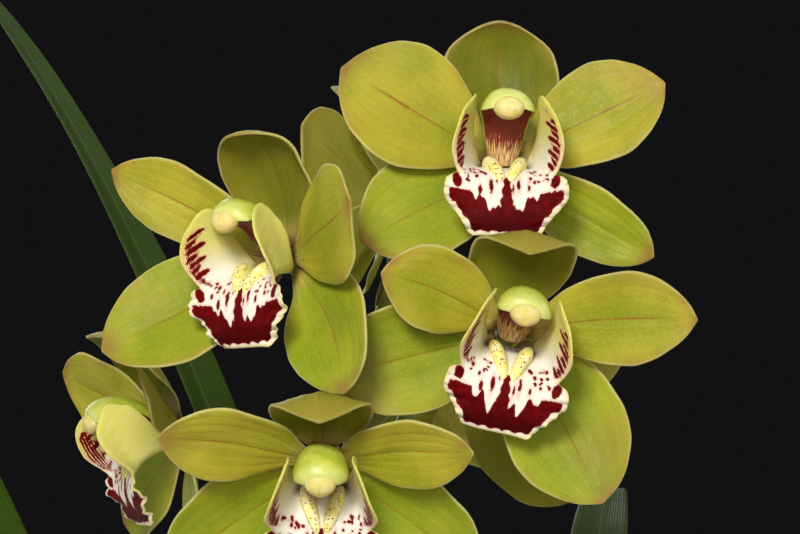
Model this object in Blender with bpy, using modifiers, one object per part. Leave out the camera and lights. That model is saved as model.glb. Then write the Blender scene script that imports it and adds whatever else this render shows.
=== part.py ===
"""Potted Cymbidium orchid: clay pot, bark, pseudobulbs, strap leaves and one spike of eight flowers.

Metres, +Z up, the pot's foot on z = 0 and the flowers facing -Y.
A flower is built in its own frame (X right, Y up, Z out of the face) and hung on an empty.
"""
import math

import bmesh
import bpy
import numpy as np
from mathutils import Matrix, Vector

MM = 0.001
GAP = 0.3 * MM  # clearance between pieces that touch

# Pot
POT_HEIGHT = 165 * MM
POT_FOOT_RADIUS = 62 * MM
POT_RIM_RADIUS = 91 * MM
POT_WALL = 5.5 * MM
POT_FLOOR = 9 * MM
RIM_BAND_HEIGHT = 27 * MM
RIM_BAND_OUT = 3.5 * MM
DRAIN_RADIUS = 5.5 * MM
DRAIN_CIRCLE = 34 * MM
DRAIN_COUNT = 5
HEADSPACE = 20 * MM  # rim down to the bark at the wall
BARK_CROWN = 3 * MM  # how much the bark rises towards the middle
BARK_TOP = POT_HEIGHT - HEADSPACE + BARK_CROWN  # what the plant stands on

# Shoots: x, y, thickness, height (mm), azimuth of the leaf fan (degrees)
BULBS = (
    (-37, 18, 44, 66, 160),
    (4, -31, 42, 58, 195),
    (43, 12, 46, 70, 15),
    (2, 50, 40, 64, 80),
)
BULB_FLATTEN = 0.82  # thickness across the leaf fan over thickness along it
BULB_CLEAR = 3  # mm that a bulb keeps from the pot's wall at least

# Leaves: bulb, offset along the fan (mm), azimuth, length (mm), width (mm),
# elevation at the base, elevation at the tip, how late it bends, twist
LEAVES = (
    (0, 11, 188, 520, 25, 80, 20, 2.1, 14),
    (0, 5, 162, 570, 24, 79, 26, 2.3, -20),
    (0, -2, 92, 430, 22, 83, -25, 1.7, 16),
    (0, -10, -58, 330, 19, 66, -35, 1.3, 10),
    (1, 10, 212, 400, 20, 68, -50, 1.4, -12),
    (1, 4, 244, 380, 20, 77, -48, 1.2, 10),
    (1, -11, -18, 380, 21, 66, -55, 1.3, 12),
    (1, -5, -46, 360, 19, 74, -40, 1.2, -10),
    (2, -9, 82, 490, 24, 82, -22, 1.9, 14),
    (2, -2, 34, 500, 23, 82, -32, 1.9, -14),
    (2, 12, -6, 440, 23, 72, -42, 1.6, 10),
    (2, 5, -42, 410, 21, 76, -52, 1.5, -12),
    (3, 9, 104, 480, 22, 74, -20, 1.8, 10),
    (3, 2, 141, 600, 27, 80, 42, 1.5, 12),
    (3, -5, 90, 560, 23, 83, 6, 2.2, -12),
)
LEAF_THICK = 1.2 * MM
LEAF_FOLD = 15  # degrees that each half of a leaf rises from its midrib

# Flower spike: x, y, height over the bark, radius (mm)
RACHIS = (
    (4, 10, 2, 5.5),
    (8, 15, 52, 5.4),
    (10, 26, 132, 5.0),
    (5, 40, 232, 4.6),
    (-10, 54, 322, 4.2),
    (-17, 60, 392, 3.8),
    (-7, 59, 450, 3.2),
    (10, 52, 492, 2.6),
    (20, 46, 516, 1.6),
)
PEDICEL_RADIUS = 2.1
OVARY_RADIUS = 3.4
OVARY_END = 3.6  # mm behind the flower's centre where the ovary stops

# Outlines: share of the length, share of the half-width
PETAL = ((0, .15), (.12, .36), (.3, .74), (.5, .97), (.62, 1), (.76, .88), (.88, .6), (.95, .33), (1, 0))
SEPAL = ((0, .17), (.1, .42), (.25, .78), (.42, .97), (.55, 1), (.72, .9), (.86, .64), (.95, .34), (1, 0))
TEPAL_THICK = 1.0 * MM
COLUMN_FOOT_HALF = 4.0
TEPAL_ROOT = COLUMN_FOOT_HALF + .2  # mm from the flower's axis to the foot of a tepal

# Lip: distance along the floor (mm), half-width over the surface (mm)
LIP_HALF = (
    (0, 5), (2.5, 10), (5, 19), (8, 28), (11, 32), (13.5, 30.5), (16, 24), (17.6, 17.5), (18.8, 15.4),
    (21, 18.4), (24.5, 18.6), (28, 16.6), (31, 14), (33.5, 12.4), (35.2, 11.4), (36.4, 10.4), (37, 9.2),
)
LIP_WALL = ((0, 60), (4, 78), (9, 88), (14, 80), (18, 55), (21, 26), (25, 6), (30, -8), (37, -18))
LIP_FLAT = ((0, 2.5), (6, 5.5), (13, 7), (19, 6), (37, 4))
LIP_BEND = ((0, 4), (8, 6), (13, 8), (19, 12), (37, 14))
LIP_LENGTH = 37.0
LIP_THICK = 0.9 * MM
LIP_FLOOR = (-8, -112)  # slope of the floor at the throat and at the tip, degrees
LIP_TURN = (5, 33)  # where along the floor it bends down, mm
LIP_FOOT = (-4, 3)  # foot of the lip below and in front of the flower's centre, mm

# Column
COLUMN_LENGTH = 31.0
COLUMN_CLEAR = 1.0  # mm between the column's foot and the faces of the petals
COLUMN_SLOPE = ((0, 48), (.35, 34), (.7, 4), (1, -42))
COLUMN_HALF = ((0, COLUMN_FOOT_HALF), (.2, COLUMN_FOOT_HALF + .4), (.5, 6.2), (.75, 8.2), (.88, 7.8), (.96, 5.4), (1, 0))
COLUMN_TOP = ((0, 3.4), (.3, 3.4), (.7, 4.2), (.9, 3.6), (1, 0))
COLUMN_UNDER = ((0, 3.2), (.3, 1.2), (.5, -.6), (.75, -2.2), (.9, -2.0), (1, 0))

PETAL_BASE = dict(length=54, width=31, lift=26, bend=-6, cup=24, outline=PETAL, z=1.2)
SEPAL_BASE = dict(length=52, width=34, lift=14, bend=2, cup=28, outline=SEPAL, z=-1.2)
DORSAL_BASE = dict(SEPAL_BASE, angle=90, length=47, width=37, lift=10, bend=95, power=2.2, cup=45)

# Flowers: centre over the bark (mm), turn about Z, nod down, roll, place on the spike, and what differs
# from the plain petals and sepals; angles in degrees, 0 to the flower's right and 90 up
FLOWERS = (
    dict(at=(31, 12, 503), turn=2, nod=-16, roll=-2, node=(0, 56, 474), dorsal=dict(angle=93, length=44, width=39, lift=-2, bend=85, power=3),
         left_petal=dict(angle=154, sickle=0, length=53, lift=16, width=39), right_petal=dict(angle=27, sickle=-2, length=51, lift=16, width=31),
         left_sepal=dict(angle=213, sickle=-2, length=46, lift=5), right_sepal=dict(angle=-31, length=50, lift=2, bend=4, tilt=28, width=22, z=-2)),
    dict(at=(33, 0, 452), turn=3, nod=4, roll=-12, node=(-15, 60, 412), dorsal=dict(angle=96, length=49, width=33, lift=15, bend=138, cup=30),
         left_petal=dict(angle=154, sickle=26, length=43, width=26, lift=22), right_petal=dict(angle=27, sickle=-18, width=28),
         left_sepal=dict(angle=203, sickle=6, lift=4, width=35), right_sepal=dict(angle=-46, sickle=-8, length=54, width=38)),
    dict(at=(-34.5, 8, 474), turn=-38, nod=-6, roll=4, node=(-11, 60, 437), dorsal=dict(angle=88, sickle=6, length=48, lift=8, bend=112, width=36),
         left_petal=dict(angle=146, sickle=7, length=58, lift=29, width=23, z=.7), right_petal=dict(angle=14, length=48, lift=29, bend=0, cup=-10, width=36),
         left_sepal=dict(angle=207, sickle=4, length=60, lift=28, width=34), right_sepal=dict(angle=-37, sickle=-36, length=51, lift=12, width=33)),
    dict(at=(-23, -2, 413), turn=0, nod=24, roll=0, node=(-16, 60, 377), dorsal=dict(length=47, width=32, lift=16, bend=118, cup=30),
         left_petal=dict(angle=147, sickle=20, length=52, width=25), right_petal=dict(angle=28, sickle=-22, length=47, width=24),
         left_sepal=dict(angle=212), right_sepal=dict(angle=-32)),
    dict(at=(-74, 90, 417), turn=-68, nod=10, roll=5, node=(-13, 57, 357)),
    dict(at=(-3, 86, 492), turn=-100, nod=-8, roll=-6, node=(-2, 57, 464)),
    dict(at=(36, 52, 360), turn=28, nod=24, roll=-5, node=(-9, 53, 318)),
    dict(at=(20, 90, 435), turn=158, nod=6, roll=14, node=(-17, 60, 390)),
)
WHOLE_FLOWERS = 4  # the first flowers have each petal and sepal as its own piece

# Fineness
TEPAL_GRID = (6, 4)
LIP_GRID = (9, 10)
COLUMN_GRID = (7, 8)
LEAF_GRID = (14, 2)
STALK_SIDES = 8
POT_STEPS = 40
BULB_GRID = (14, 9)

FINISHES = {
    "terracotta": ((.52, .19, .09, 1), .85),
    "bark": ((.10, .05, .025, 1), .95),
    "bulb_green": ((.16, .24, .03, 1), .5),
    "leaf_green": ((.05, .13, .02, 1), .4),
    "stalk_green": ((.24, .30, .04, 1), .45),
    "petal_green": ((.44, .46, .05, 1), .4),
    "sepal_green": ((.34, .38, .03, 1), .4),
    "lip_cream": ((.90, .74, .45, 1), .45),
    "column_green": ((.62, .67, .08, 1), .35),
}


def curve(points, x):
    """Smooth interpolation through points that doesn't overshoot between them."""
    knots = np.asarray(points, float)
    xs, ys = knots[:, 0], knots[:, 1]
    step = np.diff(xs)
    rate = np.diff(ys) / step
    total = np.where(rate[:-1] + rate[1:] == 0, 1, rate[:-1] + rate[1:])
    slope = np.zeros_like(ys)
    slope[1:-1] = np.where(rate[:-1] * rate[1:] > 0, 2 * rate[:-1] * rate[1:] / total, 0)
    slope[0], slope[-1] = rate[0], rate[-1]
    i = np.clip(np.searchsorted(xs, x) - 1, 0, len(step) - 1)
    t = np.clip((x - xs[i]) / step[i], 0, 1)
    return (
        (2 * t**3 - 3 * t**2 + 1) * ys[i] + (t**3 - 2 * t**2 + t) * step[i] * slope[i]
        + (3 * t**2 - 2 * t**3) * ys[i + 1] + (t**3 - t**2) * step[i] * slope[i + 1]
    )


def walk(tangents, length):
    """Points reached by following the tangents over this length, from the origin."""
    step = (tangents[1:] + tangents[:-1]) / 2 * length / (len(tangents) - 1)
    return np.vstack([np.zeros(3), np.cumsum(step, axis=0)])


def at(stations, values, where):
    return np.stack([np.interp(where, stations, values[:, k]) for k in range(values.shape[1])], axis=1)


def tepal_points(shape, s, t):
    """Points (mm, flower frame) of a petal or sepal at s along and t across."""
    S = np.linspace(0, 1, 121)
    lift = np.radians(shape["lift"] + shape["bend"] * S ** shape.get("power", 2.0))
    head = np.radians(shape["angle"] + shape.get("sickle", 0) * S)
    out_x, out_y = np.cos(head), np.sin(head)
    along = np.stack([np.cos(lift) * out_x, np.cos(lift) * out_y, np.sin(lift)], axis=1)
    face = np.stack([-np.sin(lift) * out_x, -np.sin(lift) * out_y, np.cos(lift)], axis=1)
    side = np.cross(face, along)
    spine = walk(along, shape["length"])
    spine += np.array([out_x[0] * TEPAL_ROOT, out_y[0] * TEPAL_ROOT, shape["z"]])
    tilt = math.radians(shape.get("tilt", 0))
    side, face = side * math.cos(tilt) + face * math.sin(tilt), face * math.cos(tilt) - side * math.sin(tilt)
    half = shape["width"] / 2
    hoop = math.radians(shape["cup"]) / half
    a = t * curve(shape["outline"], s) * half
    across, up = np.sin(hoop * a) / hoop, (1 - np.cos(hoop * a)) / hoop
    return at(S, spine, s) + at(S, side, s) * across[:, None] + at(S, face, s) * up[:, None]


def lip_points(l, v):
    """Points (mm, flower frame) of the lip, l mm along its floor and v across."""
    L = np.linspace(0, LIP_LENGTH, 121)
    x = np.clip((L - LIP_TURN[0]) / (LIP_TURN[1] - LIP_TURN[0]), 0, 1)
    slope = np.radians(LIP_FLOOR[0] + (LIP_FLOOR[1] - LIP_FLOOR[0]) * x * x * (3 - 2 * x))
    along = np.stack([0 * L, np.sin(slope), np.cos(slope)], axis=1)
    face = np.stack([0 * L, np.cos(slope), -np.sin(slope)], axis=1)
    floor = walk(along, LIP_LENGTH) + np.array([0, *LIP_FOOT])
    a = v * curve(LIP_HALF, l)
    width = np.abs(a)[:, None] * (np.arange(24) + .5) / 24
    x = np.clip((width - curve(LIP_FLAT, l)[:, None]) / curve(LIP_BEND, l)[:, None], 0, 1)
    wall = np.radians(curve(LIP_WALL, l))[:, None] * x * x * (3 - 2 * x)
    lobe = np.clip((20 - l) / 4, 0, 1)
    wall = wall + math.radians(18) * np.clip((width - 16) / 14, 0, 1) ** 1.5 * lobe[:, None]
    side, up = np.cos(wall).mean(axis=1) * a, np.sin(wall).mean(axis=1) * np.abs(a)
    ruffle = np.clip((l - 18) / 5, 0, 1) * np.abs(v) ** 3 * np.sin(.85 * l + .8 * np.sign(v))
    ahead = 5 * np.clip((np.abs(a) - 8) / 20, 0, 1) * lobe
    out = at(L, floor, l) + at(L, face, l) * (up + ruffle)[:, None] + at(L, along, l) * ahead[:, None]
    out[:, 0] += side
    return out


def column_points(c, turn):
    """Points (mm, flower frame) of the arched, hooded column."""
    C = np.linspace(0, 1, 121)
    slope = np.radians(curve(COLUMN_SLOPE, C))
    along = np.stack([0 * C, np.sin(slope), np.cos(slope)], axis=1)
    face = np.stack([0 * C, np.cos(slope), -np.sin(slope)], axis=1)
    foot = PETAL_BASE["z"] + TEPAL_THICK / MM / 2 + COLUMN_CLEAR
    spine = walk(along, COLUMN_LENGTH) + np.array([0, 0, foot])
    cos, sin = np.cos(turn), np.sin(turn)
    under = curve(COLUMN_UNDER, c)
    height = np.where(sin > 0, curve(COLUMN_TOP, c) * sin, under * sin) - np.abs(cos) ** 3 * np.maximum(-under, 0) * .9
    out = at(C, spine, c) + at(C, face, c) * height[:, None]
    out[:, 0] += curve(COLUMN_HALF, c) * cos
    return out


def finish_of(name):
    colour, rough = FINISHES[name]
    material = bpy.data.materials.get(name)
    if material is None:
        material = bpy.data.materials.new(name)
        material.use_nodes = True
        shader = material.node_tree.nodes["Principled BSDF"]
        shader.inputs["Base Color"].default_value = colour
        shader.inputs["Roughness"].default_value = rough
    return material


def add(name, mesh, finish, parent=None):
    body = bpy.data.objects.new(name, mesh)
    mesh.materials.append(finish_of(finish))
    ORCHID.objects.link(body)
    body.parent = parent
    return body


def grid_of(cells, warp, wrap=False, capped=False):
    """A primitive grid over 0..1 by 0..1 moved by warp(u, v); wrap joins the sides of a tube."""
    shell = bmesh.new()
    bmesh.ops.create_grid(shell, x_segments=cells[0], y_segments=cells[1], size=1)
    flat = np.array([v.co[:] for v in shell.verts])
    moved = warp((flat[:, 0] + 1) / 2, (flat[:, 1] + 1) / 2) * MM
    for vertex, place in zip(shell.verts, moved):
        vertex.co = place
    bmesh.ops.remove_doubles(shell, verts=shell.verts, dist=0.01 * MM)
    if capped:
        bmesh.ops.holes_fill(shell, edges=[e for e in shell.edges if e.is_boundary])
    if wrap:
        bmesh.ops.recalc_face_normals(shell, faces=shell.faces)
    mesh = bpy.data.meshes.new("shape")
    shell.to_mesh(mesh)
    shell.free()
    return mesh


def thicken(body, thickness):
    solid = body.modifiers.new("Thickness", "SOLIDIFY")
    solid.thickness = thickness
    solid.offset = 0
    solid.use_even_offset = False


def join(body, others):
    """Joins other objects of the scene to this one, as one grown piece."""
    for k, other in enumerate(others):
        other.hide_render = True
        other.display_type = "WIRE"
        HELPERS.objects.link(other)
        ORCHID.objects.unlink(other)
        union = body.modifiers.new(f"Join {k}", "BOOLEAN")
        union.operation, union.solver, union.object = "UNION", "EXACT", other


def tepal(name, shape, parent, thickness=TEPAL_THICK):
    def warp(u, v):
        return tepal_points(shape, u, 2 * v - 1)

    finish = "petal_green" if shape["outline"] is PETAL else "sepal_green"
    body = add(name, grid_of(TEPAL_GRID, warp), finish, parent)
    thicken(body, thickness)
    return body


def lip(name, parent):
    def warp(u, v):
        bends = (1 - np.cos(np.pi * u)) / 2
        return lip_points(LIP_LENGTH * (.35 * bends + .65 * u), 2 * v - 1)

    body = add(name, grid_of(LIP_GRID, warp), "lip_cream", parent)
    thicken(body, LIP_THICK)
    return body


def column(name, parent):
    def warp(u, v):
        return column_points(u, 2 * np.pi * v)

    return add(name, grid_of(COLUMN_GRID, warp, wrap=True, capped=True), "column_green", parent)


def tepals_of(flower):
    return {
        "dorsal_sepal": {**DORSAL_BASE, **flower.get("dorsal", {})},
        "left_petal": {**PETAL_BASE, "angle": 150, **flower.get("left_petal", {})},
        "right_petal": {**PETAL_BASE, "angle": 30, **flower.get("right_petal", {})},
        "left_sepal": {**SEPAL_BASE, "angle": 212, **flower.get("left_sepal", {})},
        "right_sepal": {**SEPAL_BASE, "angle": -32, **flower.get("right_sepal", {})},
    }


def stand_of(flower):
    return (
        Matrix.Translation(Vector(flower["at"]) * MM + Vector((0, 0, BARK_TOP)))
        @ Matrix.Rotation(math.radians(flower["turn"]), 4, "Z")
        @ Matrix.Rotation(math.radians(90 + flower["nod"]), 4, "X")
        @ Matrix.Rotation(math.radians(flower["roll"]), 4, "Z")
    )


def add_flower(number, flower):
    stand = bpy.data.objects.new(f"flower_{number}", None)
    ORCHID.objects.link(stand)
    stand.matrix_world = stand_of(flower)
    shapes = tepals_of(flower)
    if number <= WHOLE_FLOWERS:
        for part, shape in shapes.items():
            tepal(f"flower_{number}_{part}", shape, stand)
        column(f"flower_{number}_column", stand)
    else:
        # The tepals of a far flower meet in one cup around the foot of the column.
        cup = bpy.data.meshes.new("cup")
        shell = bmesh.new()
        bmesh.ops.create_uvsphere(shell, u_segments=10, v_segments=6, radius=1)
        bmesh.ops.scale(shell, vec=(6 * MM, 6 * MM, 2.6 * MM), verts=shell.verts)
        bmesh.ops.translate(shell, vec=(0, 0, .6 * MM), verts=shell.verts)
        shell.to_mesh(cup)
        shell.free()
        body = add(f"flower_{number}_perianth", cup, "petal_green", stand)
        helpers = [tepal(f"flower_{number}_{part}", shape, stand) for part, shape in shapes.items()]
        join(body, helpers + [column(f"flower_{number}_column", stand)])
    lip(f"flower_{number}_lip", stand)


def tube(points, radii, sides, rings):
    """A round stalk through points (mm) with a radius at each."""
    knots = np.asarray(points, float)
    reach = np.concatenate([[0], np.cumsum(np.linalg.norm(np.diff(knots, axis=0), axis=1))])
    reach /= reach[-1]

    def warp(u, v):
        centre = np.stack([curve(np.column_stack([reach, knots[:, k]]), u) for k in range(3)], axis=1)
        ahead = np.stack([curve(np.column_stack([reach, knots[:, k]]), np.clip(u + .01, 0, 1)) for k in range(3)], axis=1)
        behind = np.stack([curve(np.column_stack([reach, knots[:, k]]), np.clip(u - .01, 0, 1)) for k in range(3)], axis=1)
        along = ahead - behind
        along /= np.linalg.norm(along, axis=1)[:, None]
        side = np.cross(along, (0.0, .35, .05))
        side /= np.linalg.norm(side, axis=1)[:, None]
        other = np.cross(along, side)
        radius = curve(np.column_stack([reach, radii]), u)
        turn = 2 * np.pi * v
        return centre + (side * np.cos(turn)[:, None] + other * np.sin(turn)[:, None]) * radius[:, None]

    return grid_of((rings, sides), warp, wrap=True, capped=True)


def pedicel_of(flower):
    """Stalk and ovary from the spike to the back of the flower."""
    stand = stand_of(flower)
    end = np.array(stand @ Vector((0, 0, -OVARY_END * MM))) / MM
    back = np.array(stand.to_3x3() @ Vector((0, 0, -1)))
    start = np.array(flower["node"], float) + (0, 0, BARK_TOP / MM)
    reach = np.linalg.norm(end - start)
    out = (end - start) / reach
    b, c = start + (out + (0, 0, .5)) * reach * .3, end + back * reach * .42
    t = np.linspace(0, 1, 7)[:, None]
    points = (1 - t) ** 3 * start + 3 * (1 - t) ** 2 * t * b + 3 * (1 - t) * t**2 * c + t**3 * end
    radii = (PEDICEL_RADIUS * 1.15, PEDICEL_RADIUS, PEDICEL_RADIUS, 2.5, OVARY_RADIUS, OVARY_RADIUS, OVARY_RADIUS * 1.1)
    return tube(points, radii, STALK_SIDES, 9)


def add_spike():
    points = [(x, y, z + BARK_TOP / MM) for x, y, z, _ in RACHIS]
    body = add("flower_spike", tube(points, [p[3] for p in RACHIS], 10, 26), "stalk_green")
    join(body, [add(f"pedicel_{k}", pedicel_of(f), "stalk_green") for k, f in enumerate(FLOWERS, 1)])


def place_of(bulb):
    """Where a bulb stands (mm), drawn in from the pot's wall where it would come too near."""
    x, y, thick = bulb[:3]
    reach = inner_radius(BARK_TOP) / MM - BULB_CLEAR - thick / 2
    inward = min(1, reach / math.hypot(x, y))
    return x * inward, y * inward


def add_leaf(number, leaf):
    bulb, offset, azimuth, length, width, rise, fall, late, twist = leaf
    thick, height, fan = BULBS[bulb][2:]
    x, y = place_of(BULBS[bulb])
    fan_out = np.array([math.cos(math.radians(fan)), math.sin(math.radians(fan))])
    top = BARK_TOP / MM + height
    drop = height * .5 * (1 - math.sqrt(1 - (offset / (thick / 2)) ** 2))
    foot = np.array([x + fan_out[0] * offset, y + fan_out[1] * offset, top - drop + 1.5])

    def warp(u, v):
        S = np.linspace(0, 1, 161)
        slope = np.radians(rise + (fall - rise) * S**late)
        base = fan + 180 * round((azimuth - fan) / 180)
        swing = np.clip(S / .35, 0, 1)
        head = np.radians(base + (azimuth - base) * swing * swing * (3 - 2 * swing))
        out_x, out_y = np.cos(head), np.sin(head)
        along = np.stack([np.cos(slope) * out_x, np.cos(slope) * out_y, np.sin(slope)], axis=1)
        face = np.stack([-np.sin(slope) * out_x, -np.sin(slope) * out_y, np.cos(slope)], axis=1)
        side = np.cross(face, along)
        turn = np.radians(twist * S)[:, None]
        side, face = side * np.cos(turn) + face * np.sin(turn), face * np.cos(turn) - side * np.sin(turn)
        half = curve(((0, .5), (.12, .62), (.4, 1), (.7, .92), (.88, .6), (1, .04)), u) * width / 2
        fold = np.radians(LEAF_FOLD + 30 * np.clip(1 - u / .25, 0, 1))
        a = (2 * v - 1) * half
        spine = walk(along, length) + foot
        return (
            at(S, spine, u) + at(S, side, u) * (a * np.cos(fold))[:, None]
            + at(S, face, u) * (np.abs(a) * np.sin(fold))[:, None]
        )

    body = add(f"leaf_{number:02d}", grid_of(LEAF_GRID, warp), "leaf_green")
    thicken(body, LEAF_THICK)


def add_bulb(number, bulb):
    thick, height, fan = bulb[2:]
    x, y = place_of(bulb)
    shell = bmesh.new()
    bmesh.ops.create_uvsphere(shell, u_segments=BULB_GRID[0], v_segments=BULB_GRID[1], radius=1)
    cut = -.62
    bmesh.ops.bisect_plane(
        shell, geom=shell.verts[:] + shell.edges[:] + shell.faces[:], plane_co=(0, 0, cut), plane_no=(0, 0, -1), clear_outer=True
    )
    bmesh.ops.holes_fill(shell, edges=[e for e in shell.edges if e.is_boundary])
    for vertex in shell.verts:
        rise = (vertex.co.z - cut) / (1 - cut)
        narrow = 1 - .16 * rise**2
        vertex.co = Vector((vertex.co.x * narrow * thick / 2, vertex.co.y * narrow * thick / 2 * BULB_FLATTEN, rise * height)) * MM
    mesh = bpy.data.meshes.new("bulb")
    shell.to_mesh(mesh)
    shell.free()
    body = add(f"pseudobulb_{number}", mesh, "bulb_green")
    body.location = (x * MM, y * MM, BARK_TOP + GAP)
    body.rotation_euler = (0, 0, math.radians(fan))


def lathe(name, profile, finish):
    """A turned piece from a profile that runs down its outer side from the top and back up inside."""
    mesh = bpy.data.meshes.new(name)
    mesh.from_pydata([(r, 0, z) for r, z in profile], [(k, k + 1) for k in range(len(profile) - 1)], [])
    body = add(name, mesh, finish)
    screw = body.modifiers.new("Turn", "SCREW")
    screw.axis = "Z"
    screw.steps = screw.render_steps = POT_STEPS
    screw.use_merge_vertices = True
    screw.merge_threshold = 0.00005
    screw.use_smooth_shade = True
    return body


def wall_radius(z):
    """Outer radius of the pot's wall at this height."""
    band = POT_HEIGHT - RIM_BAND_HEIGHT
    return POT_FOOT_RADIUS + (POT_RIM_RADIUS - RIM_BAND_OUT - POT_FOOT_RADIUS) * z / band


def inner_radius(z):
    return min(wall_radius(z), POT_RIM_RADIUS - RIM_BAND_OUT) - POT_WALL


def add_pot():
    band = POT_HEIGHT - RIM_BAND_HEIGHT
    rim, soft = POT_RIM_RADIUS, 1.6 * MM
    profile = [
        (rim - POT_WALL / 2 - RIM_BAND_OUT / 2, POT_HEIGHT),
        (rim - soft, POT_HEIGHT),
        (rim, POT_HEIGHT - soft),
        (rim - .8 * MM, band + soft),
        (rim - .8 * MM - soft, band),
        (wall_radius(band) + .4 * MM, band - .6 * MM),
        (wall_radius(3 * MM), 3 * MM),
        (wall_radius(0) - soft, 0),
        (0, 0),
    ]
    inside = [
        (0, POT_FLOOR),
        (inner_radius(POT_FLOOR) - 4 * MM, POT_FLOOR),
        (inner_radius(POT_FLOOR + 5 * MM), POT_FLOOR + 5 * MM),
        (inner_radius(band), band),
        (inner_radius(band), POT_HEIGHT - soft),
        (rim - POT_WALL / 2 - RIM_BAND_OUT / 2, POT_HEIGHT),
    ]
    pot = lathe("pot", profile + inside, "terracotta")
    for k in range(DRAIN_COUNT):
        turn = 2 * math.pi * (k + .25) / DRAIN_COUNT
        bpy.ops.mesh.primitive_cylinder_add(
            vertices=16, radius=DRAIN_RADIUS, depth=4 * POT_FLOOR,
            location=(DRAIN_CIRCLE * math.cos(turn), DRAIN_CIRCLE * math.sin(turn), POT_FLOOR / 2),
        )
        cutter = bpy.context.active_object
        cutter.name = f"drain_cutter_{k + 1}"
        for owner in cutter.users_collection:
            owner.objects.unlink(cutter)
        HELPERS.objects.link(cutter)
        cutter.hide_render, cutter.display_type = True, "WIRE"
        cut = pot.modifiers.new(f"Drain {k + 1}", "BOOLEAN")
        cut.operation, cut.solver, cut.object = "DIFFERENCE", "EXACT", cutter


def add_bark():
    band = POT_HEIGHT - RIM_BAND_HEIGHT
    top = POT_HEIGHT - HEADSPACE
    low = POT_FLOOR + GAP
    profile = [
        (0, top + BARK_CROWN),
        (.6 * inner_radius(band), top + BARK_CROWN),
        (inner_radius(top) - 8 * MM, top + .4 * BARK_CROWN),
        (inner_radius(top) - GAP, top),
        (inner_radius(band) - GAP, band),
        (inner_radius(POT_FLOOR + 5 * MM) - GAP, POT_FLOOR + 5 * MM),
        (inner_radius(POT_FLOOR) - 4.2 * MM - GAP, low),
        (0, low),
    ]
    lathe("bark_medium", profile, "bark")


for old in list(bpy.data.objects):
    bpy.data.objects.remove(old, do_unlink=True)
ORCHID = bpy.data.collections.new("potted_orchid")
HELPERS = bpy.data.collections.new("helpers")
bpy.context.scene.collection.children.link(ORCHID)
bpy.context.scene.collection.children.link(HELPERS)

add_pot()
add_bark()
for index, spec in enumerate(BULBS, 1):
    add_bulb(index, spec)
for index, spec in enumerate(LEAVES, 1):
    add_leaf(index, spec)
add_spike()
for index, spec in enumerate(FLOWERS, 1):
    add_flower(index, spec)
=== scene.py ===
"""Potted orchid: eight yellow-green flowers on one spike, strap leaves, pseudobulbs, bark and a clay pot.

Sizes are in millimetres and are turned into metres where a surface becomes a mesh. +Z is up and the
flowers face -Y. A flower is worked out in its own frame (X right, Y up, Z out of its face) and then hung.
"""
import logging
import math
from dataclasses import dataclass, field, replace
from enum import Enum

import bpy
import numpy as np
from mathutils import Matrix, Vector


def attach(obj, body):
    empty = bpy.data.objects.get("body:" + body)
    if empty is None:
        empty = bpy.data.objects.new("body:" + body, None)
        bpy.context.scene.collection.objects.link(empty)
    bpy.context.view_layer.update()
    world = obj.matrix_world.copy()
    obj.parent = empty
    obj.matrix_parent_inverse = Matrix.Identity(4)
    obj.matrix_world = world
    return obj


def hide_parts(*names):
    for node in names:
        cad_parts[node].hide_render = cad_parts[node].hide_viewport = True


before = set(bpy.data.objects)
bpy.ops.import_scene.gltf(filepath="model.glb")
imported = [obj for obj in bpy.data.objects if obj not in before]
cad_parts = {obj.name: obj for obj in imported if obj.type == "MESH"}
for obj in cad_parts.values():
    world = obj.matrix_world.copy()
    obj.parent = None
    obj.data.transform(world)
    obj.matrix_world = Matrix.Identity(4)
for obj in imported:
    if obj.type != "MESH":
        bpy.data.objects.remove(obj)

LOG = logging.getLogger("orchid")
MM = 0.001
POT_HEIGHT, POT_FOOT, POT_RIM, POT_WALL, POT_FLOOR = 165.0, 62.0, 91.0, 5.5, 9.0
BAND_HEIGHT, BAND_OUT = 27.0, 3.5
BARK_WALL, BARK_TOP = 145.0, 148.0
Stops = tuple[tuple[float, float], ...]
Colour = tuple[float, float, float]


def curve(points: Stops, x: np.ndarray) -> np.ndarray:
    """Smooth interpolation through points, whose slope at each is the harmonic mean of its two steps'.

    Between two points it is the cubic that has their values and slopes.

    Args:
        points: Pairs of place and value, in rising order.
        x: Places to read.

    Returns:
        The values, of the shape of x.
    """
    knots = np.asarray(points, float)
    xs, ys = knots[:, 0], knots[:, 1]
    step = np.diff(xs)
    rate = np.diff(ys) / step
    total = np.where(rate[:-1] + rate[1:] == 0, 1, rate[:-1] + rate[1:])
    slope = np.zeros_like(ys)
    slope[1:-1] = np.where(rate[:-1] * rate[1:] > 0, 2 * rate[:-1] * rate[1:] / total, 0)
    slope[0], slope[-1] = rate[0], rate[-1]
    i = np.clip(np.searchsorted(xs, x) - 1, 0, len(step) - 1)
    t = np.clip((x - xs[i]) / step[i], 0, 1)
    return (
        (2 * t**3 - 3 * t**2 + 1) * ys[i] + (t**3 - 2 * t**2 + t) * step[i] * slope[i]
        + (3 * t**2 - 2 * t**3) * ys[i + 1] + (t**3 - t**2) * step[i] * slope[i + 1]
    )


def ease(x: np.ndarray, low: float, high: float) -> np.ndarray:
    """Zero below low, one above high, and 3x squared less 2x cubed between."""
    t = np.clip((x - low) / (high - low), 0, 1)
    return t * t * (3 - 2 * t)


def around(count: int) -> np.ndarray:
    """Angles in radians of points spread evenly round a circle."""
    return np.arange(count) / count * 2 * math.pi


def lengths(points: np.ndarray) -> np.ndarray:
    """Distance walked along a row of points, from 0 at the first."""
    return np.concatenate([[0], np.cumsum(np.linalg.norm(np.diff(points, axis=0), axis=1))])


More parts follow.
